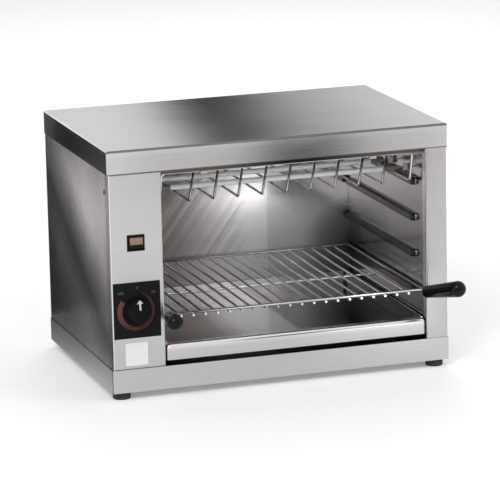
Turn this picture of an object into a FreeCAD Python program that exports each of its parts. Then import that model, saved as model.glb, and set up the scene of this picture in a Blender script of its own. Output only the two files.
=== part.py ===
import FreeCAD, Part
import math
import os
import re
import Sketcher

# Countertop salamander grill with quartz tubes, a wire rack on pressed runners and a drip tray.
# Millimetres, +X to the right as seen from the front, +Y to the rear, +Z up.
# The origin is on the table, under the middle of the casing.

Vector = FreeCAD.Vector
os.makedirs("parts", exist_ok=True)
doc = FreeCAD.newDocument("salamander_grill")
sizes = doc.addObject("Spreadsheet::Sheet", "sizes")
aliases = []
places = {}
nodes = []


def enter(group):
    # a group of driving dimensions, in millimetres, degrees or a count, each in its own row of the sheet
    for alias, value in group.items():
        row = len(aliases) + 1
        aliases.append(alias)
        sizes.set(f"A{row}", alias)
        sizes.set(f"B{row}", str(value))
        sizes.setAlias(f"B{row}", alias)


def place(name, text):
    # a named position or length that follows from the driving dimensions
    places[name] = text


def bound(text):
    # the same formula written out in cells of the sheet
    def swap(match):
        word = match.group()
        if word in places:
            return f"({bound(places[word])})"
        return f"sizes.{word}" if word in aliases else word
    return re.sub(r"[A-Za-z_]\w*", swap, str(text))


def read(text):
    return float(sizes.evalExpression(bound(text)))


# Casing
casing_sizes = {
    "casing_width": 600,
    "casing_depth": 400,
    "casing_height": 425,
    "foot_height": 13,
    "foot_diameter": 30,
    "foot_inset": 20,
    "rear_foot_inset": 47,
    "foot_recess_diameter": 11,
    "foot_recess_depth": 6,
    "plinth_height": 39.3,
    "cover_depth": 40.6,
    "outer_sheet": 1.2,
    "inner_sheet": 1,
    "nest_gap": 0.3,
    "outer_bend": 3,
    "inner_bend": 2.5,
    "edge_flange": 14,
    "control_bay": 93.5,
    "post_bay": 40,
    "corner_reveal": 3,
    "vent_length": 60,
    "vent_height": 4,
    "vent_pitch": 11,
    "vent_rows": 6,
    "base_vent_count": 9,
    "base_vent_pitch": 24,
}
enter(casing_sizes)

place("half_width", "casing_width / 2")
place("half_depth", "casing_depth / 2")
place("plinth_top", "foot_height + plinth_height")
place("cover_bottom", "casing_height - cover_depth")
place("skin_x", "half_width - outer_sheet - nest_gap")
place("skin_y", "half_depth - outer_sheet - nest_gap")
place("frame_y", "skin_y - inner_sheet")
place("floor_top", "foot_height + outer_sheet")
place("skin_top", "casing_height - outer_sheet")
place("skin_height", "skin_top - floor_top")
place("opening_left", "control_bay - half_width")
place("opening_right", "half_width - post_bay")
place("panel_left", "corner_reveal - skin_x")

# Cavity, runners and roof
cavity_sizes = {
    "cavity_back_gap": 10,
    "roof_clearance": 8.4,
    "wall_overlap": 6,
    "rib_height": 13.5,
    "rib_depth": 8,
    "rib_taper": 8,
    "rib_crest_round": 1.5,
    "rib_front_setback": 50,
    "rib_back_setback": 6,
    "rack_level": 128.85,
    "top_level_drop": 3.5,
    "level_count": 4,
    "insulation_thickness": 30,
    "insulation_margin": 5,
}
enter(cavity_sizes)

place("cavity_left", "opening_left - inner_sheet")
place("cavity_right", "opening_right + inner_sheet")
place("cavity_width", "cavity_right - cavity_left")
place("cavity_middle", "(cavity_left + cavity_right) / 2")
place("cavity_back", "half_depth - cavity_back_gap")
place("cavity_depth", "cavity_back + frame_y")
place("roof_z", "cover_bottom - roof_clearance")
place("wall_top", "roof_z + inner_sheet + wall_overlap")
place("wall_height", "wall_top - floor_top")
place("rib_front", "rib_front_setback - half_depth")
place("rib_back", "cavity_back - rib_back_setback")
place("roof_front", "edge_flange - skin_y")

# Heating tubes
tube_sizes = {
    "tube_count": 4,
    "tube_diameter": 9.5,
    "tube_bore": 7.1,
    "tube_drop": 39.7,
    "first_tube_setback": 90,
    "tube_pitch": 70,
    "cap_length": 22,
    "cap_diameter": 8.4,
    "plug_length": 6,
    "tube_end_gap": 20,
    "pin_diameter": 3,
    "pin_clearance": 0.1,
    "coil_diameter": 5,
    "bush_diameter": 13,
    "bush_length": 4.4,
    "bush_standoff": 2.2,
    "neck_diameter": 7.4,
    "neck_clearance": 0.3,
    "neck_outside": 4,
    "collar_thickness": 1.6,
    "pin_outside": 17,
    "link_thickness": 1.5,
    "link_width": 10,
    "nut_thickness": 2.6,
    "nut_radius": 3.6,
}
enter(tube_sizes)

place("tube_height", "roof_z - tube_drop")
place("first_tube_y", "first_tube_setback - half_depth")
place("cap_end", "cavity_width / 2 - tube_end_gap")
place("tube_half", "cap_end - cap_length")

# Wire guard under the tubes
guard_sizes = {
    "guard_frame_wire": 5,
    "guard_rod": 4.5,
    "guard_wire": 4,
    "guard_setback": 35,
    "guard_drop": 3,
    "guard_clearance": 15.3,
    "guard_count": 9,
    "guard_end_gap": 51,
    "guard_shift": 4.8,
    "guard_lean": 27,
    "guard_end_lean": 14,
    "guard_dip": 4,
    "guard_side_gap": 0.75,
    "guard_bend": 7,
    "guard_back_gap": 7,
    "clip_spread": 150,
    "clip_length": 12,
    "clip_width": 10,
    "clip_clearance": 0.2,
}
enter(guard_sizes)

place("guard_top", "roof_z - guard_drop")
place("guard_bottom", "tube_height - guard_clearance")
place("guard_front", "guard_setback - half_depth")
place("guard_back", "cavity_back - guard_back_gap")
place("guard_half", "cavity_width / 2 - rib_depth - guard_side_gap - guard_frame_wire / 2")
place("guard_pitch", "2 * (guard_half - guard_end_gap) / (guard_count - 1)")
place("level_pitch", "(guard_bottom - top_level_drop - rack_level) / (level_count - 1)")

# Wire rack and its grips
rack_sizes = {
    "rail_diameter": 5.5,
    "cross_rail_diameter": 5,
    "bar_diameter": 4,
    "stiffener_diameter": 4.5,
    "stiffener_setback": 169,
    "rack_side_gap": 3,
    "rack_setback": 10,
    "rack_back_gap": 5,
    "bar_count": 20,
    "bar_end_gap": 25.4,
    "bar_overhang": 4,
    "weld_depth": 0.4,
    "seat_gap": 0.3,
    "grip_setback": 10,
    "grip_gap": 2,
    "grip_length": 112,
    "grip_root": 21,
    "grip_tip": 28,
    "grip_root_round": 2,
    "grip_bend": 7,
    "grip_out_angle": 12,
    "left_grip_rise": 9.5,
    "right_grip_rise": 14,
    "grip_bore_depth": 45,
    "grip_bore_gap": 0.1,
}
enter(rack_sizes)

place("rail_offset", "rack_side_gap + rail_diameter / 2")
place("rail_half", "cavity_width / 2 - rail_offset")
place("bar_pitch", "2 * (rail_half - bar_end_gap) / (bar_count - 1)")
place("rib_top", "rack_level + rib_height / 2 - rail_offset * tan(rib_taper)")
place("rail_z", "rib_top + (rail_diameter / 2 + seat_gap) / cos(rib_taper)")
place("bar_z", "rail_z - (cross_rail_diameter + bar_diameter) / 2 + weld_depth")
place("stiffener_z", "bar_z - (bar_diameter + stiffener_diameter) / 2 + weld_depth")
place("rack_front", "rack_setback - half_depth")
place("rack_back", "cavity_back - rack_back_gap - rail_diameter / 2")

# Drip tray
tray_sizes = {
    "tray_floor": 63,
    "tray_rim": 88.5,
    "tray_lip_bottom": 61.5,
    "tray_front_setback": 1,
    "tray_lip_depth": 12,
    "tray_lip_round": 6,
    "tray_lip_corner": 7,
    "tray_side_gap": 2,
    "tray_flange_gap": 3,
    "tray_back_gap": 3,
    "tray_corner": 8,
    "lip_side_gap": 1.8,
}
enter(tray_sizes)

place("tray_half", "cavity_width / 2 - rib_depth - tray_side_gap")
place("tray_flange", "rib_depth + tray_side_gap - tray_flange_gap")
place("tray_level", "tray_rim - inner_sheet - seat_gap - rib_height / 2")
place("lip_left", "opening_left + lip_side_gap")
place("lip_right", "opening_right - lip_side_gap")
place("lip_front", "tray_front_setback - half_depth")
place("pan_front", "lip_front + tray_lip_depth")
place("pan_back", "cavity_back - tray_back_gap")

# Controls
control_sizes = {
    "dial_width": 81.5,
    "dial_height": 95.5,
    "dial_thickness": 0.8,
    "dial_from_left": 45.6,
    "dial_centre_height": 153.3,
    "knob_diameter": 47,
    "knob_depth": 20,
    "knob_gap": 0.8,
    "knob_skirt": 3,
    "knob_base_diameter": 45,
    "knob_face_diameter": 36,
    "knob_recess_diameter": 22,
    "knob_recess_depth": 7,
    "knob_edge": 1.5,
    "shaft_diameter": 6,
    "shaft_grip": 10,
    "shaft_clearance": 0.05,
    "bushing_diameter": 9.4,
    "bushing_clearance": 0.3,
    "bushing_nut_thickness": 2.5,
    "bushing_nut_radius": 8,
    "regulator_side": 36,
    "regulator_depth": 34,
    "blade_width": 6.3,
    "blade_thickness": 0.8,
    "blade_length": 9,
    "switch_centre_height": 267.6,
    "switch_from_left": 46.6,
    "switch_width": 30,
    "switch_height": 27.5,
    "bezel_thickness": 2.2,
    "bezel_wall": 3,
    "switch_body_width": 26,
    "switch_body_height": 23.4,
    "switch_depth": 26,
    "switch_fit": 0.2,
    "rocker_gap": 0.3,
    "rocker_proud": 2.6,
    "rocker_rest": 7,
    "rocker_thickness": 5,
    "rocker_pin": 2.5,
    "rocker_pin_depth": 6,
    "lens_reach": 3.7,
    "lens_side": 0.5,
    "lens_edge": 0.5,
    "lens_gap": 0.1,
    "lens_thickness": 1.2,
    "lens_proud": 0.3,
    "label_side": 39,
    "label_thickness": 0.4,
    "label_centre_height": 78,
    "label_from_left": 43,
}
enter(control_sizes)

place("dial_x", "dial_from_left - half_width")
place("switch_x", "switch_from_left - half_width")
place("label_x", "label_from_left - half_width")
place("dial_face", "-skin_y - dial_thickness")
place("knob_back", "dial_face - knob_gap")
place("knob_taper", "atan((knob_base_diameter - knob_face_diameter) / 2 / (knob_depth - knob_skirt))")

# Fasteners, wiring and inlet
fitting_sizes = {
    "screw_diameter": 4,
    "screw_head_diameter": 7.6,
    "screw_head_height": 2.4,
    "screw_clearance": 0.2,
    "screw_length": 8,
    "foot_nut_thickness": 3.2,
    "foot_nut_radius": 4,
    "side_screw_setback": 24,
    "side_screw_drop": 31.8,
    "bracket_width": 12,
    "bracket_sheet": 1.5,
    "bracket_tab": 14,
    "rear_screw_inset": 30,
    "cover_screw_count": 3,
    "cover_screw_spread": 240,
    "gland_hole": 16,
    "gland_from_left": 52,
    "gland_height": 78,
    "gland_flange": 22,
    "gland_flange_depth": 6,
    "gland_nose": 15,
    "gland_nose_depth": 11,
    "gland_bore": 9,
    "gland_thread_length": 10,
    "gland_nut_width": 22,
    "gland_nut_depth": 5,
    "gland_clearance": 0.3,
    "block_length": 42,
    "block_width": 22,
    "block_height": 18,
    "block_setback": 110,
    "block_ways": 3,
    "block_pitch": 13,
    "block_hole": 4.2,
    "wire_diameter": 3.4,
    "wire_bend": 10,
    "wire_grip": 8,
    "wire_rise": 26,
    "earth_reach": 30,
}
enter(fitting_sizes)

place("side_screw_height", "cover_bottom - side_screw_drop")
place("gland_x", "gland_from_left - half_width")
place("bay_middle", "(cavity_left - inner_sheet - skin_x + inner_sheet) / 2")
place("earth_y", "half_depth - block_setback - earth_reach")
doc.recompute()


def register(item, label):
    item.Label = label
    nodes.append(item)
    return item


def move(item, x, y, z):
    for axis, text in zip("xyz", (x, y, z)):
        item.setExpression(f"Placement.Base.{axis}", bound(text))


def new_body(label, x, y, z):
    body = doc.addObject("PartDesign::Body", label)
    move(body, x, y, z)
    return body


def flat_sketch(body, axis, start):
    # a sketch square to one axis of the body, at a distance along that axis
    role = {"X": "YZ_Plane", "Y": "XZ_Plane", "Z": "XY_Plane"}[axis]
    plane = [item for item in body.Origin.OriginFeatures if item.Role == role][0]
    sketch = body.newObject("Sketcher::SketchObject", f"{body.Name}_sketch")
    sketch.AttachmentSupport = [(plane, "")]
    sketch.MapMode = "FlatFace"
    sign = "-" if axis == "Y" else ""
    sketch.setExpression("AttachmentOffset.Base.z", bound(f"{sign}({start})"))
    return sketch


def tie(sketch, kind, links, text):
    number = sketch.addConstraint(Sketcher.Constraint(kind, *links, read(text)))
    sketch.setExpression(f"Constraints[{number}]", bound(text))


def outline(sketch, points):
    # closed straight-sided outline, each corner tied to its two coordinates
    corners = [Vector(read(u), read(v), 0) for u, v in points]
    count = len(points)
    for number, corner in enumerate(corners):
        sketch.addGeometry(Part.LineSegment(corner, corners[(number + 1) % count]), False)
    for number in range(count):
        link = ("Coincident", number, 2, (number + 1) % count, 1)
        sketch.addConstraint(Sketcher.Constraint(*link))
    for number, (u, v) in enumerate(points):
        tie(sketch, "DistanceX", (-1, 1, number, 1), u)
        tie(sketch, "DistanceY", (-1, 1, number, 1), v)


def circle(sketch, u, v, diameter):
    centre = Vector(read(u), read(v), 0)
    sketch.addGeometry(Part.Circle(centre, Vector(0, 0, 1), read(diameter) / 2), False)
    tie(sketch, "DistanceX", (-1, 1, 0, 3), u)
    tie(sketch, "DistanceY", (-1, 1, 0, 3), v)
    tie(sketch, "Diameter", (0,), diameter)


def oblong(sketch, first, last, v, width):
    # a slot shape along the sketch's first direction, between two arc centres
    low, high, level, radius = read(first), read(last), read(v), read(width) / 2
    quarter = math.pi / 2
    left = Part.Circle(Vector(low, level, 0), Vector(0, 0, 1), radius)
    right = Part.Circle(Vector(high, level, 0), Vector(0, 0, 1), radius)
    sketch.addGeometry(Part.ArcOfCircle(left, quarter, 3 * quarter), False)
    sketch.addGeometry(Part.ArcOfCircle(right, -quarter, quarter), False)
    bottom = (Vector(low, level - radius, 0), Vector(high, level - radius, 0))
    top = (Vector(high, level + radius, 0), Vector(low, level + radius, 0))
    sketch.addGeometry(Part.LineSegment(*bottom), False)
    sketch.addGeometry(Part.LineSegment(*top), False)
    for link in ((0, 2, 2, 1), (2, 2, 1, 1), (1, 2, 3, 1), (3, 2, 0, 1)):
        sketch.addConstraint(Sketcher.Constraint("Tangent", *link))
    sketch.addConstraint(Sketcher.Constraint("Equal", 0, 1))
    tie(sketch, "DistanceX", (-1, 1, 0, 3), first)
    tie(sketch, "DistanceX", (-1, 1, 1, 3), last)
    tie(sketch, "DistanceY", (-1, 1, 0, 3), v)
    tie(sketch, "Radius", (0,), f"({width}) / 2")


def extrude(body, sketch, axis, length, cut=False, taper=None, backward=False):
    # a pad or pocket that runs from the sketch along the axis, or against it
    kind = "Pocket" if cut else "Pad"
    before = body.Shape.Volume if cut else 0
    feature = body.newObject(f"PartDesign::{kind}", f"{body.Name}_{kind.lower()}")
    feature.Profile = (sketch, [""])
    feature.setExpression("Length", bound(length))
    feature.Reversed = ((axis == "Y") != cut) != backward
    if taper is not None:
        feature.setExpression("TaperAngle", bound(taper))
    doc.recompute()
    if cut and not body.Shape.Volume < before - 0.01:
        raise ValueError(f"{feature.Name} cuts nothing")
    return feature


def block(body, axis, u, v, wide, high, start, length, cut=False):
    sketch = flat_sketch(body, axis, start)
    right = f"{u} + {wide}"
    top = f"{v} + {high}"
    outline(sketch, ((u, v), (right, v), (right, top), (u, top)))
    return extrude(body, sketch, axis, length, cut)


def prism(body, axis, points, start, length, cut=False):
    sketch = flat_sketch(body, axis, start)
    outline(sketch, points)
    return extrude(body, sketch, axis, length, cut)


def disc(body, axis, u, v, diameter, start, length, cut=False):
    sketch = flat_sketch(body, axis, start)
    circle(sketch, u, v, diameter)
    return extrude(body, sketch, axis, length, cut)


def spans(edge, axis):
    # true where a straight edge runs along the axis
    step = edge.Vertexes[-1].Point - edge.Vertexes[0].Point
    return step.Length > 0.01 and abs(abs(step[axis]) - step.Length) < 0.001


def stands(edge, axis, text):
    # true where the whole edge lies at one coordinate
    box = edge.BoundBox
    low = (box.XMin, box.YMin, box.ZMin)[axis]
    high = (box.XMax, box.YMax, box.ZMax)[axis]
    return abs(low - read(text)) < 0.01 and abs(high - read(text)) < 0.01


def round_edges(body, radius, chosen):
    doc.recompute()
    base = body.Tip
    names = [f"Edge{number + 1}" for number, edge in enumerate(base.Shape.Edges) if chosen(edge)]
    if not names:
        raise ValueError(f"{body.Name} has no such edge")
    fillet = body.newObject("PartDesign::Fillet", f"{body.Name}_fillet")
    fillet.Base = (base, names)
    fillet.setExpression("Radius", bound(radius))
    doc.recompute()


def repeat(body, feature, role, length, count):
    # equal copies of one feature along an origin axis of the body
    pattern = body.newObject("PartDesign::LinearPattern", f"{body.Name}_pattern")
    pattern.Originals = [feature]
    axis = [item for item in body.Origin.OriginFeatures if item.Role == role][0]
    pattern.Direction = (axis, [""])
    pattern.setExpression("Length", bound(length))
    pattern.setExpression("Occurrences", bound(count))
    body.Tip = pattern
    doc.recompute()


turns = {"X": (Vector(0, 1, 0), 90), "Y": (Vector(1, 0, 0), -90), "Z": (Vector(0, 0, 1), 0)}


def cylinder(name, axis, x, y, z, diameter, length):
    # a round bar that starts at a point and runs along an axis
    item = doc.addObject("Part::Cylinder", name)
    item.setExpression("Radius", bound(f"({diameter}) / 2"))
    item.setExpression("Height", bound(length))
    item.Placement = FreeCAD.Placement(Vector(0, 0, 0), FreeCAD.Rotation(*turns[axis]))
    move(item, x, y, z)
    return item


def hexagon(name, axis, x, y, z, radius, length):
    item = doc.addObject("Part::Prism", name)
    item.Polygon = 6
    item.setExpression("Circumradius", bound(radius))
    item.setExpression("Height", bound(length))
    item.Placement = FreeCAD.Placement(Vector(0, 0, 0), FreeCAD.Rotation(*turns[axis]))
    move(item, x, y, z)
    return item


def box(name, x, y, z, wide, deep, high):
    item = doc.addObject("Part::Box", name)
    item.setExpression("Length", bound(wide))
    item.setExpression("Width", bound(deep))
    item.setExpression("Height", bound(high))
    move(item, x, y, z)
    return item


def fuse(name, items):
    item = doc.addObject("Part::MultiFuse", name)
    item.Shapes = items
    return item


def cut(name, base, tool):
    item = doc.addObject("Part::Cut", name)
    item.Base = base
    item.Tool = tool
    return item


def group(label, items):
    # identical small pieces that share one node
    item = doc.addObject("Part::Compound", label)
    item.Links = items
    return register(item, label)


def solid_feature(label, shape):
    item = doc.addObject("Part::Feature", label)
    item.Shape = shape
    return register(item, label)


def bent_wire(points, radius, diameter):
    # straight runs joined by tangent arcs, swept with a round section
    corners = [Vector(*point) for point in points]
    edges = []
    start = corners[0]
    for before, corner, after in zip(corners, corners[1:], corners[2:]):
        first = (before - corner).normalize()
        second = (after - corner).normalize()
        reach = radius / math.tan(first.getAngle(second) / 2)
        entry = corner + first * reach
        leave = corner + second * reach
        centre = corner + (first + second).normalize() * math.hypot(reach, radius)
        middle = centre + (corner - centre).normalize() * radius
        edges.append(Part.LineSegment(start, entry).toShape())
        edges.append(Part.Arc(entry, middle, leave).toShape())
        start = leave
    edges.append(Part.LineSegment(start, corners[-1]).toShape())
    path = Part.Wire(edges)
    along = (corners[1] - corners[0]).normalize()
    section = Part.Wire([Part.Circle(corners[0], along, diameter / 2).toShape()])
    return path.makePipeShell([section], True, False)


def straight_wire(first, last, diameter):
    first = Vector(*first)
    along = Vector(*last) - first
    return Part.makeCylinder(diameter / 2, along.Length, first, along)


# Base pan, feet and their fasteners
def make_base_pan():
    body = new_body("base_pan", "-half_width", "-half_depth", "foot_height")
    block(body, "Z", "0", "0", "casing_width", "casing_depth", "0", "plinth_height")
    round_edges(body, "outer_bend", lambda edge: spans(edge, 2))
    inside = ("casing_width - 2 * outer_sheet", "casing_depth - 2 * outer_sheet")
    block(body, "Z", "outer_sheet", "outer_sheet", *inside, "outer_sheet", "plinth_height", True)
    for x, y in foot_places.values():
        disc(body, "Z", f"{x} + half_width", f"{y} + half_depth", "screw_diameter + screw_clearance",
             "0", "outer_sheet", True)
    first = "casing_width / 2 - (base_vent_count - 1) * base_vent_pitch / 2 - vent_height / 2"
    end = "casing_depth / 2 - vent_length / 2"
    slot = block(body, "Z", first, end, "vent_height", "vent_length", "0", "outer_sheet", True)
    repeat(body, slot, "X_Axis", "(base_vent_count - 1) * base_vent_pitch", "base_vent_count")
    register(body, "base_pan")


foot_places = {
    "front_left": ("foot_inset - half_width", "foot_inset - half_depth"),
    "front_right": ("half_width - foot_inset", "foot_inset - half_depth"),
    "rear_left": ("rear_foot_inset - half_width", "half_depth - foot_inset"),
    "rear_right": ("half_width - rear_foot_inset", "half_depth - foot_inset"),
}


def make_feet():
    screws = []
    nuts = []
    for corner, (x, y) in foot_places.items():
        body = new_body(f"{corner}_foot", x, y, "0")
        disc(body, "Z", "0", "0", "foot_diameter", "0", "foot_height")
        round_edges(body, "outer_bend / 2", lambda edge: stands(edge, 2, "0"))
        disc(body, "Z", "0", "0", "foot_recess_diameter", "0", "foot_recess_depth", True)
        disc(body, "Z", "0", "0", "screw_diameter + screw_clearance", "0", "foot_height", True)
        register(body, f"{corner}_foot")
        head = cylinder(f"{corner}_head", "Z", x, y, "foot_recess_depth - screw_head_height",
                        "screw_head_diameter", "screw_head_height")
        reach = "floor_top - foot_recess_depth + foot_nut_thickness + 1"
        shank = cylinder(f"{corner}_shank", "Z", x, y, "foot_recess_depth", "screw_diameter", reach)
        screws.append(fuse(f"{corner}_screw", [head, shank]))
        blank = hexagon(f"{corner}_blank", "Z", x, y, "floor_top", "foot_nut_radius",
                        "foot_nut_thickness")
        hole = cylinder(f"{corner}_thread", "Z", x, y, "floor_top - 1",
                        "screw_diameter + pin_clearance", "foot_nut_thickness + 2")
        nuts.append(cut(f"{corner}_nut", blank, hole))
    group("foot_screws", screws)
    group("foot_nuts", nuts)


# Outer skins
def make_top_cover():
    body = new_body("top_cover", "-half_width", "-half_depth", "cover_bottom")
    block(body, "Z", "0", "0", "casing_width", "casing_depth", "0", "cover_depth")
    round_edges(body, "outer_bend",
                lambda edge: spans(edge, 2) or stands(edge, 2, "cover_depth"))
    inside = ("casing_width - 2 * outer_sheet", "casing_depth - 2 * outer_sheet")
    block(body, "Z", "outer_sheet", "outer_sheet", *inside, "0", "cover_depth - outer_sheet", True)
    for x in cover_screw_places():
        disc(body, "Y", f"half_width + {x}", "cover_depth / 2", "screw_diameter + screw_clearance",
             "casing_depth - outer_sheet", "outer_sheet", True)
    register(body, "top_cover")


def flange_holes(body, x, deep):
    # clearance for the rear panel's screws, low and high on one rear flange
    for _, z in rear_screw_places()[1:3]:
        disc(body, "Y", x, f"{z} - floor_top", "screw_diameter + screw_clearance",
             f"{deep} - inner_sheet", "inner_sheet", True)


def make_left_side_panel():
    body = new_body("left_side_panel", "-skin_x", "-frame_y", "floor_top")
    deep = "2 * frame_y"
    block(body, "Z", "0", "0", "inner_sheet", deep, "0", "skin_height")
    block(body, "Z", "0", "0", "edge_flange", "inner_sheet", "0", "skin_height")
    block(body, "Z", "0", f"{deep} - inner_sheet", "edge_flange", "inner_sheet", "0", "skin_height")
    round_edges(body, "inner_bend", lambda edge: spans(edge, 2) and stands(edge, 0, "0"))
    disc(body, "X", "side_screw_setback - half_depth + frame_y", "side_screw_height - floor_top",
         "screw_diameter + screw_clearance", "0", "inner_sheet", True)
    flange_holes(body, "edge_flange / 2", deep)
    register(body, "left_side_panel")


def make_right_side_panel():
    # outer skin, front post and the return that lines the opening, folded from one sheet
    body = new_body("right_side_panel", "opening_right", "-skin_y", "floor_top")
    wide = "skin_x - opening_right"
    deep = "skin_y + frame_y"
    block(body, "Z", f"{wide} - inner_sheet", "0", "inner_sheet", deep, "0", "skin_height")
    block(body, "Z", "0", "0", wide, "inner_sheet", "0", "skin_height")
    block(body, "Z", "0", "0", "inner_sheet", "edge_flange", "0", "skin_height")
    block(body, "Z", f"{wide} - edge_flange", f"{deep} - inner_sheet", "edge_flange", "inner_sheet",
          "0", "skin_height")
    outer = (("0", "0"), (wide, "0"), (wide, deep))
    round_edges(body, "inner_bend", lambda edge: spans(edge, 2) and any(
        stands(edge, 0, x) and stands(edge, 1, y) for x, y in outer))
    disc(body, "X", "side_screw_setback - half_depth + skin_y", "side_screw_height - floor_top",
         "screw_diameter + screw_clearance", f"{wide} - inner_sheet", "inner_sheet", True)
    flange_holes(body, f"{wide} - edge_flange / 2", deep)
    register(body, "right_side_panel")


def make_control_panel():
    body = new_body("control_panel", "panel_left", "-skin_y", "floor_top")
    wide = "opening_left - panel_left"
    block(body, "Z", "0", "0", wide, "inner_sheet", "0", "skin_height")
    block(body, "Z", f"{wide} - inner_sheet", "0", "inner_sheet", "edge_flange", "0", "skin_height")
    round_edges(body, "inner_bend", lambda edge: spans(edge, 2)
                and stands(edge, 0, wide) and stands(edge, 1, "0"))
    disc(body, "Y", "dial_x - panel_left", "dial_centre_height - floor_top",
         "bushing_diameter + bushing_clearance", "0", "inner_sheet", True)
    hole_width = "switch_body_width + 2 * switch_fit"
    hole_height = "switch_body_height + 2 * switch_fit"
    block(body, "Y", f"switch_x - panel_left - ({hole_width}) / 2",
          f"switch_centre_height - floor_top - ({hole_height}) / 2",
          hole_width, hole_height, "0", "inner_sheet", True)
    register(body, "control_panel")


def make_rear_panel():
    body = new_body("rear_panel", "-skin_x", "frame_y", "floor_top")
    wide = "2 * skin_x"
    block(body, "Y", "0", "0", wide, "skin_height", "0", "inner_sheet")
    for left in ("skin_x + bay_middle - vent_length / 2", "skin_x + cavity_middle - vent_length / 2"):
        low = "skin_height - cover_depth - 30 - vent_rows * vent_pitch"
        slot = block(body, "Y", left, low, "vent_length", "vent_height", "0", "inner_sheet", True)
        repeat(body, slot, "Z_Axis", "(vent_rows - 1) * vent_pitch", "vent_rows")
    disc(body, "Y", "gland_x + skin_x", "gland_height - floor_top",
         "gland_hole + 2 * gland_clearance", "0", "inner_sheet", True)
    cover_screws = [(x, "cover_bottom + cover_depth / 2") for x in cover_screw_places()]
    for x, z in rear_screw_places() + cover_screws:
        disc(body, "Y", f"{x} + skin_x", f"{z} - floor_top", "screw_diameter + screw_clearance",
             "0", "inner_sheet", True)
    register(body, "rear_panel")


def cover_screw_places():
    return [f"({number} - (cover_screw_count - 1) / 2) * cover_screw_spread"
            for number in range(int(read("cover_screw_count")))]


def rear_screw_places():
    edge = "skin_x - edge_flange / 2"
    low = "plinth_top + rear_screw_inset"
    high = "cover_bottom - rear_screw_inset"
    return [(f"-({edge})", low), (edge, low), (f"-({edge})", high), (edge, high)]


# Cavity sheets with pressed runners
def runner_levels():
    levels = [f"rack_level + {number} * level_pitch" for number in range(int(read("level_count")))]
    return ["tray_level"] + levels


def make_cavity_wall(label, left, inward):
    # inward is +1 where the cavity lies towards +X of the sheet, -1 where it lies towards -X
    body = new_body(label, left, "-frame_y", "floor_top")
    block(body, "Z", "0", "0", "inner_sheet", "cavity_depth + inner_sheet", "0", "wall_height")
    face = "inner_sheet" if inward > 0 else "0"
    back = "0" if inward > 0 else "inner_sheet"
    first = "rib_front + frame_y + rib_height / 2"
    last = "rib_back + frame_y - rib_height / 2"
    for level in runner_levels():
        sketch = flat_sketch(body, "X", face)
        oblong(sketch, first, last, f"{level} - floor_top", "rib_height")
        extrude(body, sketch, "X", "rib_depth", False, "-rib_taper", inward < 0)
    crest = f"{face} + {inward} * rib_depth"
    round_edges(body, "rib_crest_round", lambda edge: stands(edge, 0, crest))
    for level in runner_levels():
        sketch = flat_sketch(body, "X", back)
        oblong(sketch, first, last, f"{level} - floor_top", "rib_height - 2 * inner_sheet")
        extrude(body, sketch, "X", "rib_depth", True, "-rib_taper", inward < 0)
    for number in range(int(read("tube_count"))):
        disc(body, "X", f"first_tube_y + {number} * tube_pitch + frame_y", "tube_height - floor_top",
             "neck_diameter + 2 * neck_clearance", "0", "inner_sheet", True)
    register(body, label)


def make_cavity_back():
    body = new_body("cavity_back", "cavity_left", "cavity_back", "floor_top")
    block(body, "Y", "0", "0", "cavity_width", "wall_height", "0", "inner_sheet")
    register(body, "cavity_back_wall")


def make_roof():
    # ceiling of the cavity, which throws the heat down, with an upstand behind the cover
    body = new_body("reflector_roof", "cavity_left", "roof_front", "roof_z")
    deep = "cavity_back - roof_front"
    block(body, "Z", "0", "0", "cavity_width", deep, "0", "inner_sheet")
    block(body, "Z", "0", "0", "cavity_width", "inner_sheet", "0", "skin_top - roof_z")
    register(body, "reflector_roof")
    wool = box("roof_insulation", "cavity_left + insulation_margin",
               "roof_front + inner_sheet + insulation_margin", "roof_z + inner_sheet",
               "cavity_width - 2 * insulation_margin",
               f"{deep} - inner_sheet - 2 * insulation_margin", "insulation_thickness")
    register(wool, "roof_insulation")


# Quartz tubes with their caps, pins and bushes
def make_tubes():
    caps, pins, bushes, collars, nuts, coils = [], [], [], [], [], []
    for number in range(int(read("tube_count"))):
        y = f"first_tube_y + {number} * tube_pitch"
        start = "cavity_middle - tube_half"
        glass = cylinder(f"glass_{number}", "X", start, y, "tube_height", "tube_diameter",
                         "2 * tube_half")
        hollow = cylinder(f"hollow_{number}", "X", f"{start} - 1", y, "tube_height", "tube_bore",
                          "2 * tube_half + 2")
        register(cut(f"quartz_tube_{number + 1}", glass, hollow), f"quartz_tube_{number + 1}")
        coils.append(cylinder(f"coil_{number}", "X", f"{start} + plug_length", y, "tube_height",
                              "coil_diameter", "2 * tube_half - 2 * plug_length"))
        for hand, way in (("left", -1), ("right", 1)):
            name = f"{hand}_{number}"
            caps.append(make_cap(name, way, y))
            pins.append(make_pin(name, way, y))
            bushes.append(make_bush(name, way, y))
            collars.append(make_ring(f"collar_{name}", way, y, "outside_face", "bush_diameter",
                                     "neck_diameter + pin_clearance", "collar_thickness"))
            nuts.append(make_pin_nut(name, way, y))
    group("heating_coils", coils)
    group("ceramic_caps", caps)
    group("terminal_pins", pins)
    group("ceramic_bushes", bushes)
    group("bush_collars", collars)
    group("pin_nuts", nuts)


place("outside_face", "cavity_width / 2 + inner_sheet")
place("bush_face", "cavity_width / 2 - bush_standoff")
place("pin_end", "outside_face + pin_outside")
place("link_face", "pin_end - nut_thickness - link_thickness - 1")


def span(name, way, y, near, diameter, length):
    # a round bar beside the cavity's middle, between two distances from it on one side
    start = f"cavity_middle + ({near})" if way > 0 else f"cavity_middle - ({near}) - ({length})"
    return cylinder(name, "X", start, y, "tube_height", diameter, length)


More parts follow.
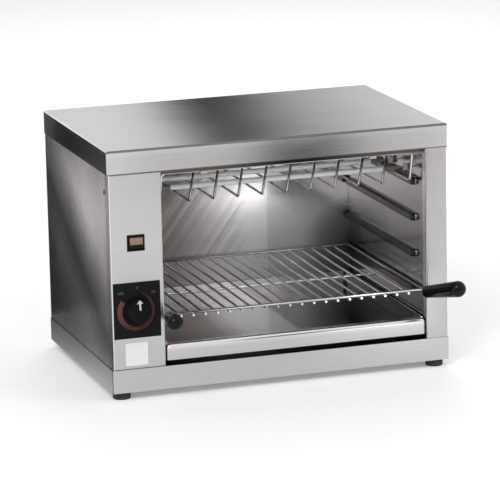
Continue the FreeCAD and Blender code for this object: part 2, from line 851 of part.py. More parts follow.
def make_cap(name, way, y):
    body = span(f"cap_body_{name}", way, y, "tube_half", "cap_diameter", "cap_length")
    plug = span(f"cap_plug_{name}", way, y, "tube_half - plug_length",
                "tube_bore - 2 * pin_clearance", "plug_length + 1")
    bore = span(f"cap_bore_{name}", way, y, "tube_half - plug_length - 1",
                "pin_diameter + 2 * pin_clearance", "plug_length + cap_length + 2")
    return cut(f"cap_{name}", fuse(f"cap_blank_{name}", [body, plug]), bore)


def make_pin(name, way, y):
    return span(f"pin_{name}", way, y, "tube_half - plug_length", "pin_diameter",
                "pin_end - tube_half + plug_length")


def make_bush(name, way, y):
    flange = span(f"bush_flange_{name}", way, y, "bush_face - bush_length", "bush_diameter",
                  "bush_length")
    neck = span(f"bush_neck_{name}", way, y, "bush_face - 1", "neck_diameter",
                "outside_face - bush_face + 1 + neck_outside")
    bore = span(f"bush_bore_{name}", way, y, "bush_face - bush_length - 1",
                "pin_diameter + 2 * pin_clearance", "bush_length + bush_standoff + 10")
    return cut(f"bush_{name}", fuse(f"bush_blank_{name}", [flange, neck]), bore)


def make_ring(name, way, y, near, outer, inner, length):
    blank = span(f"{name}_blank", way, y, near, outer, length)
    bore = span(f"{name}_bore", way, y, f"{near} - 1", inner, f"{length} + 2")
    return cut(name, blank, bore)


def make_pin_nut(name, way, y):
    near = "link_face + link_thickness"
    start = f"cavity_middle + {near}" if way > 0 else f"cavity_middle - ({near}) - nut_thickness"
    blank = hexagon(f"nut_blank_{name}", "X", start, y, "tube_height", "nut_radius", "nut_thickness")
    bore = span(f"nut_bore_{name}", way, y, f"{near} - 1", "pin_diameter + pin_clearance",
                "nut_thickness + 2")
    return cut(f"nut_{name}", blank, bore)


def make_link_bars():
    # flat strips that join the tubes in two series pairs
    bars = []
    joins = [(1, number, number + 1) for number in range(0, int(read("tube_count")) - 1, 2)]
    joins += [(-1, number, number + 1) for number in range(1, int(read("tube_count")) - 1, 2)]
    for way, first, last in joins:
        name = f"link_{first}_{last}"
        face = "cavity_middle + link_face" if way > 0 else "cavity_middle - link_face - link_thickness"
        low = f"first_tube_y + {first} * tube_pitch"
        strip = box(f"{name}_strip", face, f"{low} - link_width / 2", "tube_height - link_width / 2",
                    "link_thickness", f"({last} - {first}) * tube_pitch + link_width", "link_width")
        holes = [span(f"{name}_hole_{number}", way, f"first_tube_y + {number} * tube_pitch",
                      "link_face - 1", "pin_diameter + 2 * pin_clearance", "link_thickness + 2")
                 for number in (first, last)]
        bars.append(cut(name, strip, fuse(f"{name}_holes", holes)))
    group("link_bars", bars)


# Wire guard
def make_guard():
    frame_wire, rod, wire = read("guard_frame_wire"), read("guard_rod"), read("guard_wire")
    bend, overhang = read("guard_bend"), read("guard_frame_wire")
    middle, half = read("cavity_middle"), read("guard_half")
    front, back = read("guard_front"), read("guard_back")
    top, low = read("guard_top"), read("guard_bottom")
    left, right = middle - half, middle + half
    end, bottom = back + overhang, front + read("guard_end_lean")
    frame = [(left, end, low), (left, bottom, low), (left, front, top),
             (right, front, top), (right, bottom, low), (right, end, low)]
    pieces = [bent_wire(frame, bend, frame_wire)]
    pieces.append(straight_wire((left, back, low), (right, back, low), rod))
    count = int(read("guard_count"))
    tip, dip = front + read("guard_lean"), low - read("guard_dip")
    for number in range(count):
        x = middle + read("guard_shift") + (number - (count - 1) / 2) * read("guard_pitch")
        pieces.append(bent_wire([(x, front, top), (x, tip, dip), (x, back, low)], bend, wire))
    solid_feature("wire_guard", pieces[0].multiFuse(pieces[1:]).removeSplitter())
    clips = []
    for hand in (-1, 1):
        x = f"cavity_middle + {hand} * clip_spread - clip_length / 2"
        base = box(f"clip_block_{hand + 1}", x, "guard_front - clip_width / 2",
                   "guard_top - clip_width / 2", "clip_length", "clip_width",
                   "roof_z - guard_top + clip_width / 2")
        bore = cylinder(f"clip_bore_{hand + 1}", "X", f"{x} - 1", "guard_front", "guard_top",
                        "guard_frame_wire + 2 * clip_clearance", "clip_length + 2")
        clips.append(cut(f"front_clip_{hand + 1}", base, bore))
        base = box(f"hook_block_{hand + 1}", x, "guard_back - clip_width / 2",
                   "guard_bottom - clip_width / 2", "clip_length",
                   "cavity_back - guard_back + clip_width / 2", "clip_width")
        bore = cylinder(f"hook_bore_{hand + 1}", "X", f"{x} - 1", "guard_back", "guard_bottom",
                        "guard_rod + 2 * clip_clearance", "clip_length + 2")
        clips.append(cut(f"rear_clip_{hand + 1}", base, bore))
    group("guard_clips", clips)


# Wire rack with two grips
def grip_direction(way):
    rise = "right_grip_rise" if way > 0 else "left_grip_rise"
    out, up = math.radians(read("grip_out_angle")), math.radians(read(rise))
    return Vector(way * math.sin(out) * math.cos(up), -math.cos(out) * math.cos(up), math.sin(up))


def grip_root(way):
    x = read("cavity_middle") + way * read("rail_half")
    return Vector(x, -read("half_depth") - read("grip_setback"), read("rail_z"))


def make_rack():
    rail, cross, bar = read("rail_diameter"), read("cross_rail_diameter"), read("bar_diameter")
    middle, half = read("cavity_middle"), read("rail_half")
    front, back, level = read("rack_front"), read("rack_back"), read("rail_z")
    overhang = read("bar_overhang")
    pieces = []
    for way in (-1, 1):
        root = grip_root(way)
        end = root + grip_direction(way) * (read("grip_bore_depth") - 1)
        pieces.append(bent_wire([(root.x, back + overhang, level), tuple(root), tuple(end)],
                                read("grip_bend"), rail))
    for y in (front, back):
        pieces.append(straight_wire((middle - half, y, level), (middle + half, y, level), cross))
    count = int(read("bar_count"))
    for number in range(count):
        x = middle + (number - (count - 1) / 2) * read("bar_pitch")
        z = read("bar_z")
        pieces.append(straight_wire((x, front - overhang, z), (x, back, z), bar))
    reach = (count - 1) / 2 * read("bar_pitch") + overhang
    y, z = front + read("stiffener_setback"), read("stiffener_z")
    pieces.append(straight_wire((middle - reach, y, z), (middle + reach, y, z),
                                read("stiffener_diameter")))
    solid_feature("wire_rack", pieces[0].multiFuse(pieces[1:]).removeSplitter())


def make_grip(label, way):
    # black moulded handle, thicker towards its domed tip
    root = grip_root(way)
    direction = grip_direction(way)
    length, edge = read("grip_length"), read("grip_root_round")
    low, high = read("grip_root") / 2, read("grip_tip") / 2
    start = root + direction * read("grip_gap")
    collar = Part.makeCone(low - edge, low, edge, start, direction)
    taper = Part.makeCone(low, high, length - edge - high, start + direction * edge, direction)
    dome = Part.makeSphere(high, start + direction * (length - high), direction)
    grip = collar.fuse(taper).fuse(dome).removeSplitter()
    bore = read("rail_diameter") / 2 + read("grip_bore_gap")
    depth = read("grip_bore_depth") - read("grip_gap")
    grip = grip.cut(Part.makeCylinder(bore, depth, start, direction))
    solid_feature(label, grip)


# Drip tray
def make_tray():
    body = new_body("drip_tray", "cavity_middle - tray_half", "pan_front", "tray_floor")
    wide = "2 * tray_half"
    deep = "pan_back - pan_front"
    high = "tray_rim - tray_floor"
    lip_x = "lip_left - cavity_middle + tray_half"
    lip_z = "tray_lip_bottom - tray_floor"
    lip_wide = "lip_right - lip_left"
    block(body, "Z", lip_x, "-tray_lip_depth", lip_wide, "tray_lip_depth", lip_z,
          "tray_rim - tray_lip_bottom")
    block(body, "Z", f"{lip_x} + inner_sheet", "inner_sheet - tray_lip_depth",
          f"{lip_wide} - 2 * inner_sheet", "tray_lip_depth - inner_sheet", lip_z,
          "tray_rim - tray_lip_bottom - inner_sheet", True)
    for inset in ("inner_sheet", "0"):
        # the sheet's inner bend first, then the outer one around it
        sides = (f"{lip_x} + {inset}", f"{lip_x} + {lip_wide} - {inset}")
        top = f"{high} - {inset}"
        front = f"{inset} - tray_lip_depth"
        round_edges(body, f"tray_lip_corner - {inset}", lambda edge: spans(edge, 1)
                    and stands(edge, 2, top) and any(stands(edge, 0, x) for x in sides))
        round_edges(body, f"tray_lip_round - {inset}", lambda edge: stands(edge, 1, front)
                    and not stands(edge, 2, lip_z))
    block(body, "Z", "0", "0", wide, deep, "0", high)
    round_edges(body, "tray_corner", lambda edge: spans(edge, 2) and stands(edge, 1, deep))
    for x in ("-tray_flange", wide):
        block(body, "Z", x, "0", "tray_flange", f"{deep} - tray_corner",
              f"{high} - inner_sheet", "inner_sheet")
    block(body, "Z", "inner_sheet", "inner_sheet", f"{wide} - 2 * inner_sheet",
          f"{deep} - 2 * inner_sheet", "inner_sheet", high, True)
    register(body, "drip_tray")


# Dial plate, regulator and knob
def make_dial():
    plate = new_body("dial_plate", "dial_x - dial_width / 2", "dial_face",
                     "dial_centre_height - dial_height / 2")
    block(plate, "Y", "0", "0", "dial_width", "dial_height", "0", "dial_thickness")
    disc(plate, "Y", "dial_width / 2", "dial_height / 2", "bushing_diameter + bushing_clearance",
         "0", "dial_thickness", True)
    register(plate, "dial_plate")

    side = "regulator_side / 2"
    case = new_body("regulator", "dial_x", "-frame_y", "dial_centre_height")
    block(case, "Y", f"-{side}", f"-{side}", "regulator_side", "regulator_side", "0",
          "regulator_depth")
    front = "frame_y + dial_face - bushing_nut_thickness - 1"
    disc(case, "Y", "0", "0", "bushing_diameter", front, f"-({front})")
    for x in ("-blade_width * 1.5", "blade_width / 2"):
        for z in ("-regulator_side / 4", "regulator_side / 4"):
            block(case, "Y", x, z, "blade_width", "blade_thickness", "regulator_depth", "blade_length")
    disc(case, "Y", "0", "0", "shaft_diameter + 2 * shaft_clearance", front, "8 + shaft_grip", True)
    register(case, "regulator")

    blank = hexagon("bushing_nut_blank", "Y", "dial_x", "dial_face - bushing_nut_thickness",
                    "dial_centre_height", "bushing_nut_radius", "bushing_nut_thickness")
    bore = cylinder("bushing_nut_bore", "Y", "dial_x", "dial_face - bushing_nut_thickness - 1",
                    "dial_centre_height", "bushing_diameter + pin_clearance",
                    "bushing_nut_thickness + 2")
    register(cut("bushing_nut", blank, bore), "bushing_nut")


def make_knob():
    # a thin skirt, a grip that narrows towards its face, and a hollow back with a bore for the shaft
    knob = new_body("regulator_knob", "dial_x", "knob_back", "dial_centre_height")
    disc(knob, "Y", "0", "0", "knob_diameter", "-knob_skirt", "knob_skirt")
    face = flat_sketch(knob, "Y", "-knob_depth")
    circle(face, "0", "0", "knob_face_diameter")
    extrude(knob, face, "Y", "knob_depth - knob_skirt", taper="knob_taper")
    round_edges(knob, "knob_edge", lambda edge: stands(edge, 1, "-knob_depth"))
    disc(knob, "Y", "0", "0", "knob_recess_diameter", "-knob_recess_depth", "knob_recess_depth", True)
    disc(knob, "Y", "0", "0", "shaft_diameter + 2 * shaft_clearance",
         "-knob_recess_depth - shaft_grip", "shaft_grip", True)
    register(knob, "regulator_knob")
    start = "knob_back - knob_recess_depth - shaft_grip"
    shaft = cylinder("regulator_shaft", "Y", "dial_x", start, "dial_centre_height", "shaft_diameter",
                     f"-frame_y - ({start}) + shaft_grip / 2")
    register(shaft, "regulator_shaft")


# Rocker switch
place("rocker_width", "switch_width - 2 * bezel_wall - 2 * rocker_gap")
place("rocker_corner", "(rocker_pin_depth + rocker_proud) * sin(rocker_rest)")
place("rocker_half", "(switch_height / 2 - bezel_wall - rocker_gap - rocker_corner) / cos(rocker_rest)")


def make_switch():
    case = new_body("switch_housing", "switch_x", "-skin_y", "switch_centre_height")
    block(case, "Y", "-switch_width / 2", "-switch_height / 2", "switch_width", "switch_height",
          "-bezel_thickness", "bezel_thickness")
    round_edges(case, "knob_edge / 2", lambda edge: stands(edge, 1, "-bezel_thickness"))
    block(case, "Y", "-switch_body_width / 2", "-switch_body_height / 2", "switch_body_width",
          "switch_body_height", "0", "switch_depth")
    block(case, "Y", "bezel_wall - switch_width / 2", "bezel_wall - switch_height / 2",
          "switch_width - 2 * bezel_wall", "switch_height - 2 * bezel_wall", "-bezel_thickness",
          "bezel_thickness + 2 * rocker_pin_depth", True)
    for x in ("-switch_body_width / 4 - blade_width / 2", "switch_body_width / 4 - blade_width / 2"):
        for z in ("-switch_body_height / 4", "switch_body_height / 4"):
            block(case, "Y", x, z, "blade_width", "blade_thickness", "switch_depth", "blade_length")
    disc(case, "X", "rocker_pin_depth - bezel_thickness", "0",
         "rocker_pin + 2 * shaft_clearance", "-switch_body_width / 2 + 0.4",
         "switch_body_width - 0.8", True)
    register(case, "switch_housing")


def rocker_body(label):
    # parts of the rocker are drawn level and then tipped about the pin to the rest position
    body = doc.addObject("PartDesign::Body", label)
    turn = FreeCAD.Rotation(Vector(1, 0, 0), 1)
    body.Placement = FreeCAD.Placement(Vector(0, 0, 0), turn)
    move(body, "switch_x", "rocker_pin_depth - bezel_thickness - skin_y", "switch_centre_height")
    body.setExpression("Placement.Rotation.Angle", bound("-rocker_rest"))
    return body


place("rocker_front", "-rocker_pin_depth - rocker_proud")
place("rocker_dip", "rocker_front + rocker_half * tan(rocker_rest)")


def make_rocker():
    body = rocker_body("rocker")
    profile = (("rocker_dip", "0"), ("rocker_front", "rocker_half"),
               ("rocker_front + rocker_thickness", "rocker_half"), ("rocker_pin / 2 + 1", "rocker_pin"),
               ("rocker_pin / 2 + 1", "-rocker_pin"),
               ("rocker_front + rocker_thickness", "-rocker_half"), ("rocker_front", "-rocker_half"))
    prism(body, "X", profile, "-rocker_width / 2", "rocker_width")
    disc(body, "X", "0", "0", "rocker_pin", "-switch_body_width / 2 + 0.7", "switch_body_width - 1.4")
    pocket = lens_profile("rocker_proud", "lens_thickness + lens_gap", "lens_edge")
    prism(body, "X", pocket, "lens_side - rocker_width / 2", "rocker_width - 2 * lens_side", True)
    register(body, "rocker")
    lens = rocker_body("rocker_lens")
    face = lens_profile("lens_proud", "lens_thickness", "lens_edge + lens_gap")
    prism(lens, "X", face, "lens_side + lens_gap - rocker_width / 2",
          "rocker_width - 2 * lens_side - 2 * lens_gap")
    register(lens, "rocker_lens")


def lens_profile(proud, deep, margin):
    # a band that follows the rocker's shallow valley from its top edge to below the middle
    low = f"{margin} - lens_reach - lens_edge"
    high = f"rocker_half - ({margin})"
    slope = {low: f"({low}) * -tan(rocker_rest)", "0": "0", high: f"({high}) * tan(rocker_rest)"}
    face = [(f"rocker_dip - {rise}", z) for z, rise in slope.items()]
    outer = [(f"{y} - {proud}", z) for y, z in face]
    inner = [(f"{y} + {deep}", z) for y, z in reversed(face)]
    return outer + inner


def make_label():
    plate = box("blank_label", "label_x - label_side / 2", "-skin_y - label_thickness",
                "label_centre_height - label_side / 2", "label_side", "label_thickness", "label_side")
    register(plate, "blank_label")


# Side brackets and screws
def pan_screw(name, axis, x, y, z, way, grip):
    # head outside the sheet, shank through it; way is the direction from head to tip
    if axis == "X":
        head_x = f"{x} - screw_head_height" if way > 0 else x
        shank_x = x if way > 0 else f"{x} - ({grip})"
        head = cylinder(f"{name}_head", axis, head_x, y, z, "screw_head_diameter", "screw_head_height")
        shank = cylinder(f"{name}_shank", axis, shank_x, y, z, "screw_diameter", grip)
    else:
        head_y = f"{y} - screw_head_height" if way > 0 else y
        shank_y = y if way > 0 else f"{y} - ({grip})"
        head = cylinder(f"{name}_head", axis, x, head_y, z, "screw_head_diameter", "screw_head_height")
        shank = cylinder(f"{name}_shank", axis, x, shank_y, z, "screw_diameter", grip)
    return fuse(name, [head, shank])


def make_side_bracket(label, near_skin, near_wall):
    # a strip that ties the side skin to the cavity wall, with a tab at each end
    y = "side_screw_setback - half_depth"
    low = "side_screw_height - bracket_width / 2"
    left, right = (near_skin, near_wall) if read(near_skin) < read(near_wall) else (near_wall, near_skin)
    body = new_body(label, left, y, low)
    wide = f"{right} - ({left})"
    tab = "bracket_tab"
    block(body, "Z", "0", f"{tab} / 2", wide, "bracket_sheet", "0", "bracket_width")
    for x in ("0", f"{wide} - bracket_sheet"):
        block(body, "Z", x, f"-{tab} / 2", "bracket_sheet", f"{tab} + bracket_sheet", "0",
              "bracket_width")
    skin = "0" if left == near_skin else f"{wide} - bracket_sheet"
    disc(body, "X", "0", "bracket_width / 2", "screw_diameter + screw_clearance", skin,
         "bracket_sheet", True)
    register(body, label)


def make_screws():
    y = "side_screw_setback - half_depth"
    group("side_screws", [
        pan_screw("left_side_screw", "X", "-skin_x", y, "side_screw_height", 1, "screw_length"),
        pan_screw("right_side_screw", "X", "skin_x", y, "side_screw_height", -1, "screw_length")])
    rear = [pan_screw(f"rear_screw_{number}", "Y", x, "skin_y", z, -1, "screw_length")
            for number, (x, z) in enumerate(rear_screw_places())]
    group("rear_screws", rear)
    cover = [pan_screw(f"cover_screw_{number}", "Y", x, "half_depth",
                       "cover_bottom + cover_depth / 2", -1, "screw_length")
             for number, x in enumerate(cover_screw_places())]
    group("cover_screws", cover)


# Cable inlet and terminal block
def make_gland():
    y = "skin_y"
    body = cylinder("gland_flange_disc", "Y", "gland_x", y, "gland_height", "gland_flange",
                    "gland_flange_depth")
    nose = cylinder("gland_nose_disc", "Y", "gland_x", f"{y} + gland_flange_depth - 1",
                    "gland_height", "gland_nose", "gland_nose_depth")
    neck = cylinder("gland_neck", "Y", "gland_x", f"{y} - gland_thread_length", "gland_height",
                    "gland_hole", "gland_thread_length + 1")
    bore = cylinder("gland_bore_tool", "Y", "gland_x", f"{y} - gland_thread_length - 1",
                    "gland_height", "gland_bore", "gland_thread_length + gland_flange_depth + 30")
    register(cut("cable_gland", fuse("gland_blank", [body, nose, neck]), bore), "cable_gland")
    blank = hexagon("gland_nut_blank", "Y", "gland_x", "frame_y - gland_nut_depth", "gland_height",
                    "gland_nut_width / 2", "gland_nut_depth")
    hole = cylinder("gland_nut_hole", "Y", "gland_x", "frame_y - gland_nut_depth - 1", "gland_height",
                    "gland_hole + pin_clearance", "gland_nut_depth + 2")
    register(cut("gland_nut", blank, hole), "gland_nut")


def make_terminal_block():
    body = new_body("terminal_block", "bay_middle - block_length / 2",
                    "half_depth - block_setback", "floor_top")
    block(body, "Z", "0", "0", "block_length", "block_width", "0", "block_height")
    for number in range(int(read("block_ways"))):
        x = f"block_length / 2 + ({number} - (block_ways - 1) / 2) * block_pitch"
        disc(body, "Y", x, "block_height / 2", "block_hole", "0", "block_width", True)
    register(body, "terminal_block")


def make_earth():
    # a stud on the pan, its nut, and the wire that ends beside it
    stud = cylinder("earth_shank", "Z", "bay_middle", "earth_y", "floor_top", "screw_diameter",
                    "block_height")
    blank = hexagon("earth_nut_blank", "Z", "bay_middle", "earth_y", "floor_top", "foot_nut_radius",
                    "foot_nut_thickness")
    hole = cylinder("earth_nut_hole", "Z", "bay_middle", "earth_y", "floor_top - 1",
                    "screw_diameter + pin_clearance", "foot_nut_thickness + 2")
    group("earth_stud", [stud, cut("earth_nut", blank, hole)])
    level = read("floor_top + block_height / 2")
    first = (read("bay_middle"), read("half_depth - block_setback + wire_grip"), level)
    last = (first[0], read("earth_y + screw_diameter / 2 + nest_gap"), level)
    solid_feature("earth_wire", straight_wire(first, last, read("wire_diameter")))


def wire(label, points):
    route = [tuple(read(value) for value in point) for point in points]
    solid_feature(label, bent_wire(route, read("wire_bend"), read("wire_diameter")))


def way_x(number):
    return f"bay_middle + ({number} - (block_ways - 1) / 2) * block_pitch"


def make_wiring():
    # insulated wires from the block to the switch, the regulator and the tubes
    block_z = "floor_top + block_height / 2"
    block_y = "half_depth - block_setback + wire_grip"
    rise_y = "half_depth - block_setback - wire_rise"
    tail_switch = "switch_depth + blade_length - skin_y"
    tail_regulator = "regulator_depth + blade_length - frame_y"
    upper = "switch_centre_height + switch_body_height / 4"
    left_x = "switch_x - switch_body_width / 4"
    right_x = "switch_x + switch_body_width / 4"
    wire("live_wire", (
        (way_x(0), block_y, block_z), (way_x(0), rise_y, block_z),
        (left_x, rise_y, upper), (left_x, tail_switch, upper)))
    regulator_z = "dial_centre_height + regulator_side / 4"
    wire("switch_wire", (
        (right_x, tail_switch, upper), (right_x, f"{tail_switch} + wire_rise", upper),
        ("dial_x + blade_width", f"{tail_switch} + wire_rise", regulator_z),
        ("dial_x + blade_width", tail_regulator, regulator_z)))
    pin_x = "cavity_middle - link_face + 2 * wire_grip"
    wire("feed_wire", (
        ("dial_x - blade_width", tail_regulator, "dial_centre_height - regulator_side / 4"),
        ("dial_x - blade_width", "first_tube_y", "dial_centre_height - regulator_side / 4"),
        ("cavity_middle - pin_end - wire_rise", "first_tube_y", "tube_height"),
        ("cavity_middle - pin_end", "first_tube_y", "tube_height")))
    last_y = "first_tube_y + (tube_count - 1) * tube_pitch"
    wire("return_wire", (
        (way_x(2), block_y, block_z), (way_x(2), rise_y, block_z),
        ("cavity_middle - pin_end - wire_rise", last_y, "tube_height"),
        ("cavity_middle - pin_end", last_y, "tube_height")))


make_base_pan()
make_feet()
make_top_cover()
make_left_side_panel()
make_right_side_panel()
make_control_panel()
make_rear_panel()
make_cavity_wall("left_cavity_wall", "cavity_left - inner_sheet", 1)
make_cavity_wall("right_cavity_wall", "cavity_right", -1)
make_cavity_back()
make_roof()
make_tubes()
make_link_bars()
make_guard()
make_rack()
make_grip("left_grip", -1)
make_grip("right_grip", 1)
make_tray()
make_dial()
make_knob()
make_switch()
make_rocker()
make_label()
make_side_bracket("left_bracket", "inner_sheet - skin_x", "cavity_left - inner_sheet")
make_side_bracket("right_bracket", "skin_x - inner_sheet", "cavity_right + inner_sheet")
make_screws()
make_gland()
make_terminal_block()
make_wiring()
make_earth()
doc.recompute()

for item in doc.Objects:
    if "Invalid" in item.State or "Error" in item.State:
        raise ValueError(f"{item.Name} has failed")
for item in nodes:
    shape = item.Shape
    if shape.isNull() or not shape.isValid() or not shape.Solids:
        raise ValueError(f"{item.Label} has no sound solid")
for item in nodes:
    item.Shape.exportStep(f"parts/{item.Label}.step")
print(len(nodes), "nodes written")
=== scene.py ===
import math
import bmesh
import bpy
from mathutils import Matrix, Vector


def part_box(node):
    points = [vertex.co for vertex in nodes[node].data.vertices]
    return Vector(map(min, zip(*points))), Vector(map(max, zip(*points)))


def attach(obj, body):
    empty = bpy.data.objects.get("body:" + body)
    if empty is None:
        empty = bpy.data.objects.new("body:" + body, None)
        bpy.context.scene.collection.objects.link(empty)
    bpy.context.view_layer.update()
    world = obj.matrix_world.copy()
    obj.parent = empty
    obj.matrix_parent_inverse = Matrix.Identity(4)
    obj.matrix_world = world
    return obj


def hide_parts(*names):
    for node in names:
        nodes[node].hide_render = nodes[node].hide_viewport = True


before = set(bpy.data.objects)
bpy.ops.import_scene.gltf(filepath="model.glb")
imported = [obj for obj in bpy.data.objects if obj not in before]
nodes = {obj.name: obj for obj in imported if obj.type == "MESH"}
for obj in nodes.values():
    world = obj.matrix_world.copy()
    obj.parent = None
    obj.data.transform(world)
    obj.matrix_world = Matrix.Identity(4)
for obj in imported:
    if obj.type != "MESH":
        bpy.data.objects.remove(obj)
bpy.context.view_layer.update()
print("stage: frame loaded with", len(nodes), "nodes")


# Small helpers
def mm(value):
    return value / 1000


def place(x, y, z):
    return Vector((mm(x), mm(y), mm(z)))


def middle(node):
    low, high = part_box(node)
    return (low + high) / 2


def linked(name, data):
    # a new object in the scene's own collection
    holder = bpy.data.objects.new(name, data)
    bpy.context.scene.collection.objects.link(holder)
    return holder


def emptyMaterial(name):
    material = bpy.data.materials.new(name)
    material.use_nodes = True
    tree = material.node_tree
    tree.nodes.clear()
    return material, tree, tree.nodes.new("ShaderNodeOutputMaterial")


def paired(tree, operation, first, second):
    # one step of arithmetic on two values, each a number or a socket
    part = tree.nodes.new("ShaderNodeMath")
    part.operation = operation
    for socket, item in zip(part.inputs, (first, second)):
        if isinstance(item, (int, float)):
            socket.default_value = item
        else:
            tree.links.new(item, socket)
    return part.outputs[0]


# Camera and stage
camera = {
    "place": (-1.7735, -5.4716, 1.5268),
    "turn": -18.05,  # degrees about the upright axis
    "tip": 13.09,  # degrees below the horizon
    "roll": -1.20,
    "lens": 245.12,
    "sensor": 36,
    "near": 0.05,
    "far": 200,
}

stageLook = {
    "floorSize": 60,
    "floorColour": (0.86, 0.86, 0.86, 1),
    "floorLift": 0.16,  # what the camera adds to the floor so that it shows as white paper
    "roomLight": 0.62,
    "aim": (0, 0, 0.2),
    "keyPlace": (-2.2, -3.0, 3.4),
    "keySize": 1.8,
    "keyPower": 85,
    "fillPlace": (2.6, -2.4, 2.2),
    "fillSize": 2.2,
    "fillPower": 32,
    "rearPlace": (1.0, 3.0, 2.8),
    "rearSize": 2.2,
    "rearPower": 40,
}


def setCamera():
    view = bpy.data.cameras.new("camera")
    view.lens = camera["lens"]
    view.sensor_width = camera["sensor"]
    view.clip_start = camera["near"]
    view.clip_end = camera["far"]
    viewer = linked("camera", view)
    turn = Matrix.Rotation(math.radians(camera["turn"]), 4, "Z")
    tip = Matrix.Rotation(math.radians(90 - camera["tip"]), 4, "X")
    roll = Matrix.Rotation(math.radians(camera["roll"]), 4, "Z")
    viewer.matrix_world = Matrix.Translation(camera["place"]) @ turn @ tip @ roll
    bpy.context.scene.camera = viewer


def setWorld():
    world = bpy.data.worlds.new("room")
    world.use_nodes = True
    tree = world.node_tree
    tree.nodes.clear()
    output = tree.nodes.new("ShaderNodeOutputWorld")
    mix = tree.nodes.new("ShaderNodeMixShader")
    # what lights the object, then what the camera, gloss and glass see
    for socket, strength in ((mix.inputs[1], stageLook["roomLight"]), (mix.inputs[2], 1)):
        light = tree.nodes.new("ShaderNodeBackground")
        light.inputs["Color"].default_value = (1, 1, 1, 1)
        light.inputs["Strength"].default_value = strength
        tree.links.new(light.outputs[0], socket)
    path = tree.nodes.new("ShaderNodeLightPath")
    seen = paired(tree, "MAXIMUM", path.outputs["Is Camera Ray"], path.outputs["Is Glossy Ray"])
    seen = paired(tree, "MAXIMUM", seen, path.outputs["Is Transmission Ray"])
    tree.links.new(seen, mix.inputs["Fac"])
    tree.links.new(mix.outputs[0], output.inputs["Surface"])
    bpy.context.scene.world = world


def areaLight(name, inGloss):
    lamp = bpy.data.lights.new(name, "AREA")
    lamp.shape = "DISK"
    lamp.size = stageLook[name + "Size"]
    lamp.energy = stageLook[name + "Power"]
    holder = linked(name, lamp)
    holder.visible_glossy = inGloss
    spot = stageLook[name + "Place"]
    aim = Vector(stageLook["aim"]) - Vector(spot)
    turn = aim.to_track_quat("-Z", "Y").to_matrix().to_4x4()
    holder.matrix_world = Matrix.Translation(spot) @ turn


def makeFloor():
    half = stageLook["floorSize"] / 2
    mesh = bpy.data.meshes.new("floor")
    corners = [(-half, -half, 0), (half, -half, 0), (half, half, 0), (-half, half, 0)]
    mesh.from_pydata(corners, [], [(0, 1, 2, 3)])
    floor = linked("floor", mesh)
    material, tree, output = emptyMaterial("pale_floor")
    paper = tree.nodes.new("ShaderNodeBsdfDiffuse")
    paper.inputs["Color"].default_value = stageLook["floorColour"]
    lift = tree.nodes.new("ShaderNodeEmission")
    path = tree.nodes.new("ShaderNodeLightPath")
    both = tree.nodes.new("ShaderNodeAddShader")
    seen = paired(tree, "MAXIMUM", path.outputs["Is Camera Ray"], path.outputs["Is Glossy Ray"])
    tree.links.new(paired(tree, "MULTIPLY", seen, stageLook["floorLift"]), lift.inputs["Strength"])
    tree.links.new(paper.outputs[0], both.inputs[0])
    tree.links.new(lift.outputs[0], both.inputs[1])
    tree.links.new(both.outputs[0], output.inputs["Surface"])
    mesh.materials.append(material)


# Boards that stand round the object as in a studio. Only its gloss shows them. A board's grey runs
# along one or two directions: a weight for x, y and z, then stops of millimetres and grey
boards = {
    "rear_board": {
        "corners": [(-1400, 600, 426), (2200, 600, 426), (2200, 600, 1900), (-1400, 600, 1900)],
        "tint": (1.0, 0.97, 0.96),
        "runs": [((1, 0, -0.646), [(-420, 0.88), (-340, 0.74), (-276, 0.2), (-214, 0.02), (-150, 0.13),
                                   (-60, 0.44), (90, 0.72), (300, 0.98)])],
    },
    "front_board": {
        "corners": [(-140, -600, 230), (440, -600, 230), (440, -600, 350), (-140, -600, 350)],
        "tint": (1.0, 0.95, 0.94),
        "runs": [((1, 0, 0), [(-140, 0.9), (0, 0.84), (66, 0.74), (118, 0.3), (150, 0.07), (205, 0.05),
                              (255, 0.36), (320, 0.8), (440, 0.9)])],
    },
    "low_board": {
        "corners": [(60, -600, 2), (382, -600, 2), (382, -600, 205), (60, -600, 205)],
        "tint": (1.0, 0.985, 0.98),
        "runs": [((1, 0, 0), [(60, 0.4), (130, 0.6), (190, 1.5), (250, 3.0), (300, 4.4), (382, 4.8)]),
                 ((0, 0, 1), [(2, 1.0), (34, 0.85), (60, 0.34), (100, 0.19), (205, 0.16)])],
    },
    "left_board": {
        "corners": [(-640, 400, 2), (-302, 400, 2), (-302, 400, 560), (-640, 400, 560)],
        "tint": (1.8, 1.75, 1.73),
        "runs": [((-1, 0, 0.55), [(468, 0.012), (508, 0.04), (542, 0.2), (566, 0.4), (590, 0.64),
                                  (618, 0.82)])],
    },
    "end_board": {
        "corners": [(-540, 397, 168), (-303, 397, 380), (-303, 397, 490), (-540, 397, 278)],
        "tint": (1.0, 1.0, 0.98),
        "runs": [((1, 0, 0), [(-540, 0.0), (-372, 0.0), (-352, 0.2), (-303, 0.3)])],
    },
    "left_floor_board": {
        "corners": [(-470, -160, 1), (-304, -160, 1), (-304, 398, 1), (-470, 398, 1)],
        "tint": (1.0, 0.98, 0.97),
        "runs": [((-1, 0, 0), [(305, 1.0), (390, 0.33)]),
                 ((0, 1, 0), [(-20, 1.0), (200, 0.5), (450, 0.2)])],
    },
}


def measured(tree, weights=(1, 0, 0), origin=None):
    # how far along a direction a point lies, or how far from another point, in metres
    source = tree.nodes.new("ShaderNodeTexCoord")
    part = tree.nodes.new("ShaderNodeVectorMath")
    part.operation = "DISTANCE" if origin else "DOT_PRODUCT"
    part.inputs[1].default_value = [mm(value) for value in origin] if origin else weights
    tree.links.new(source.outputs["Object"], part.inputs[0])
    return part.outputs["Value"]


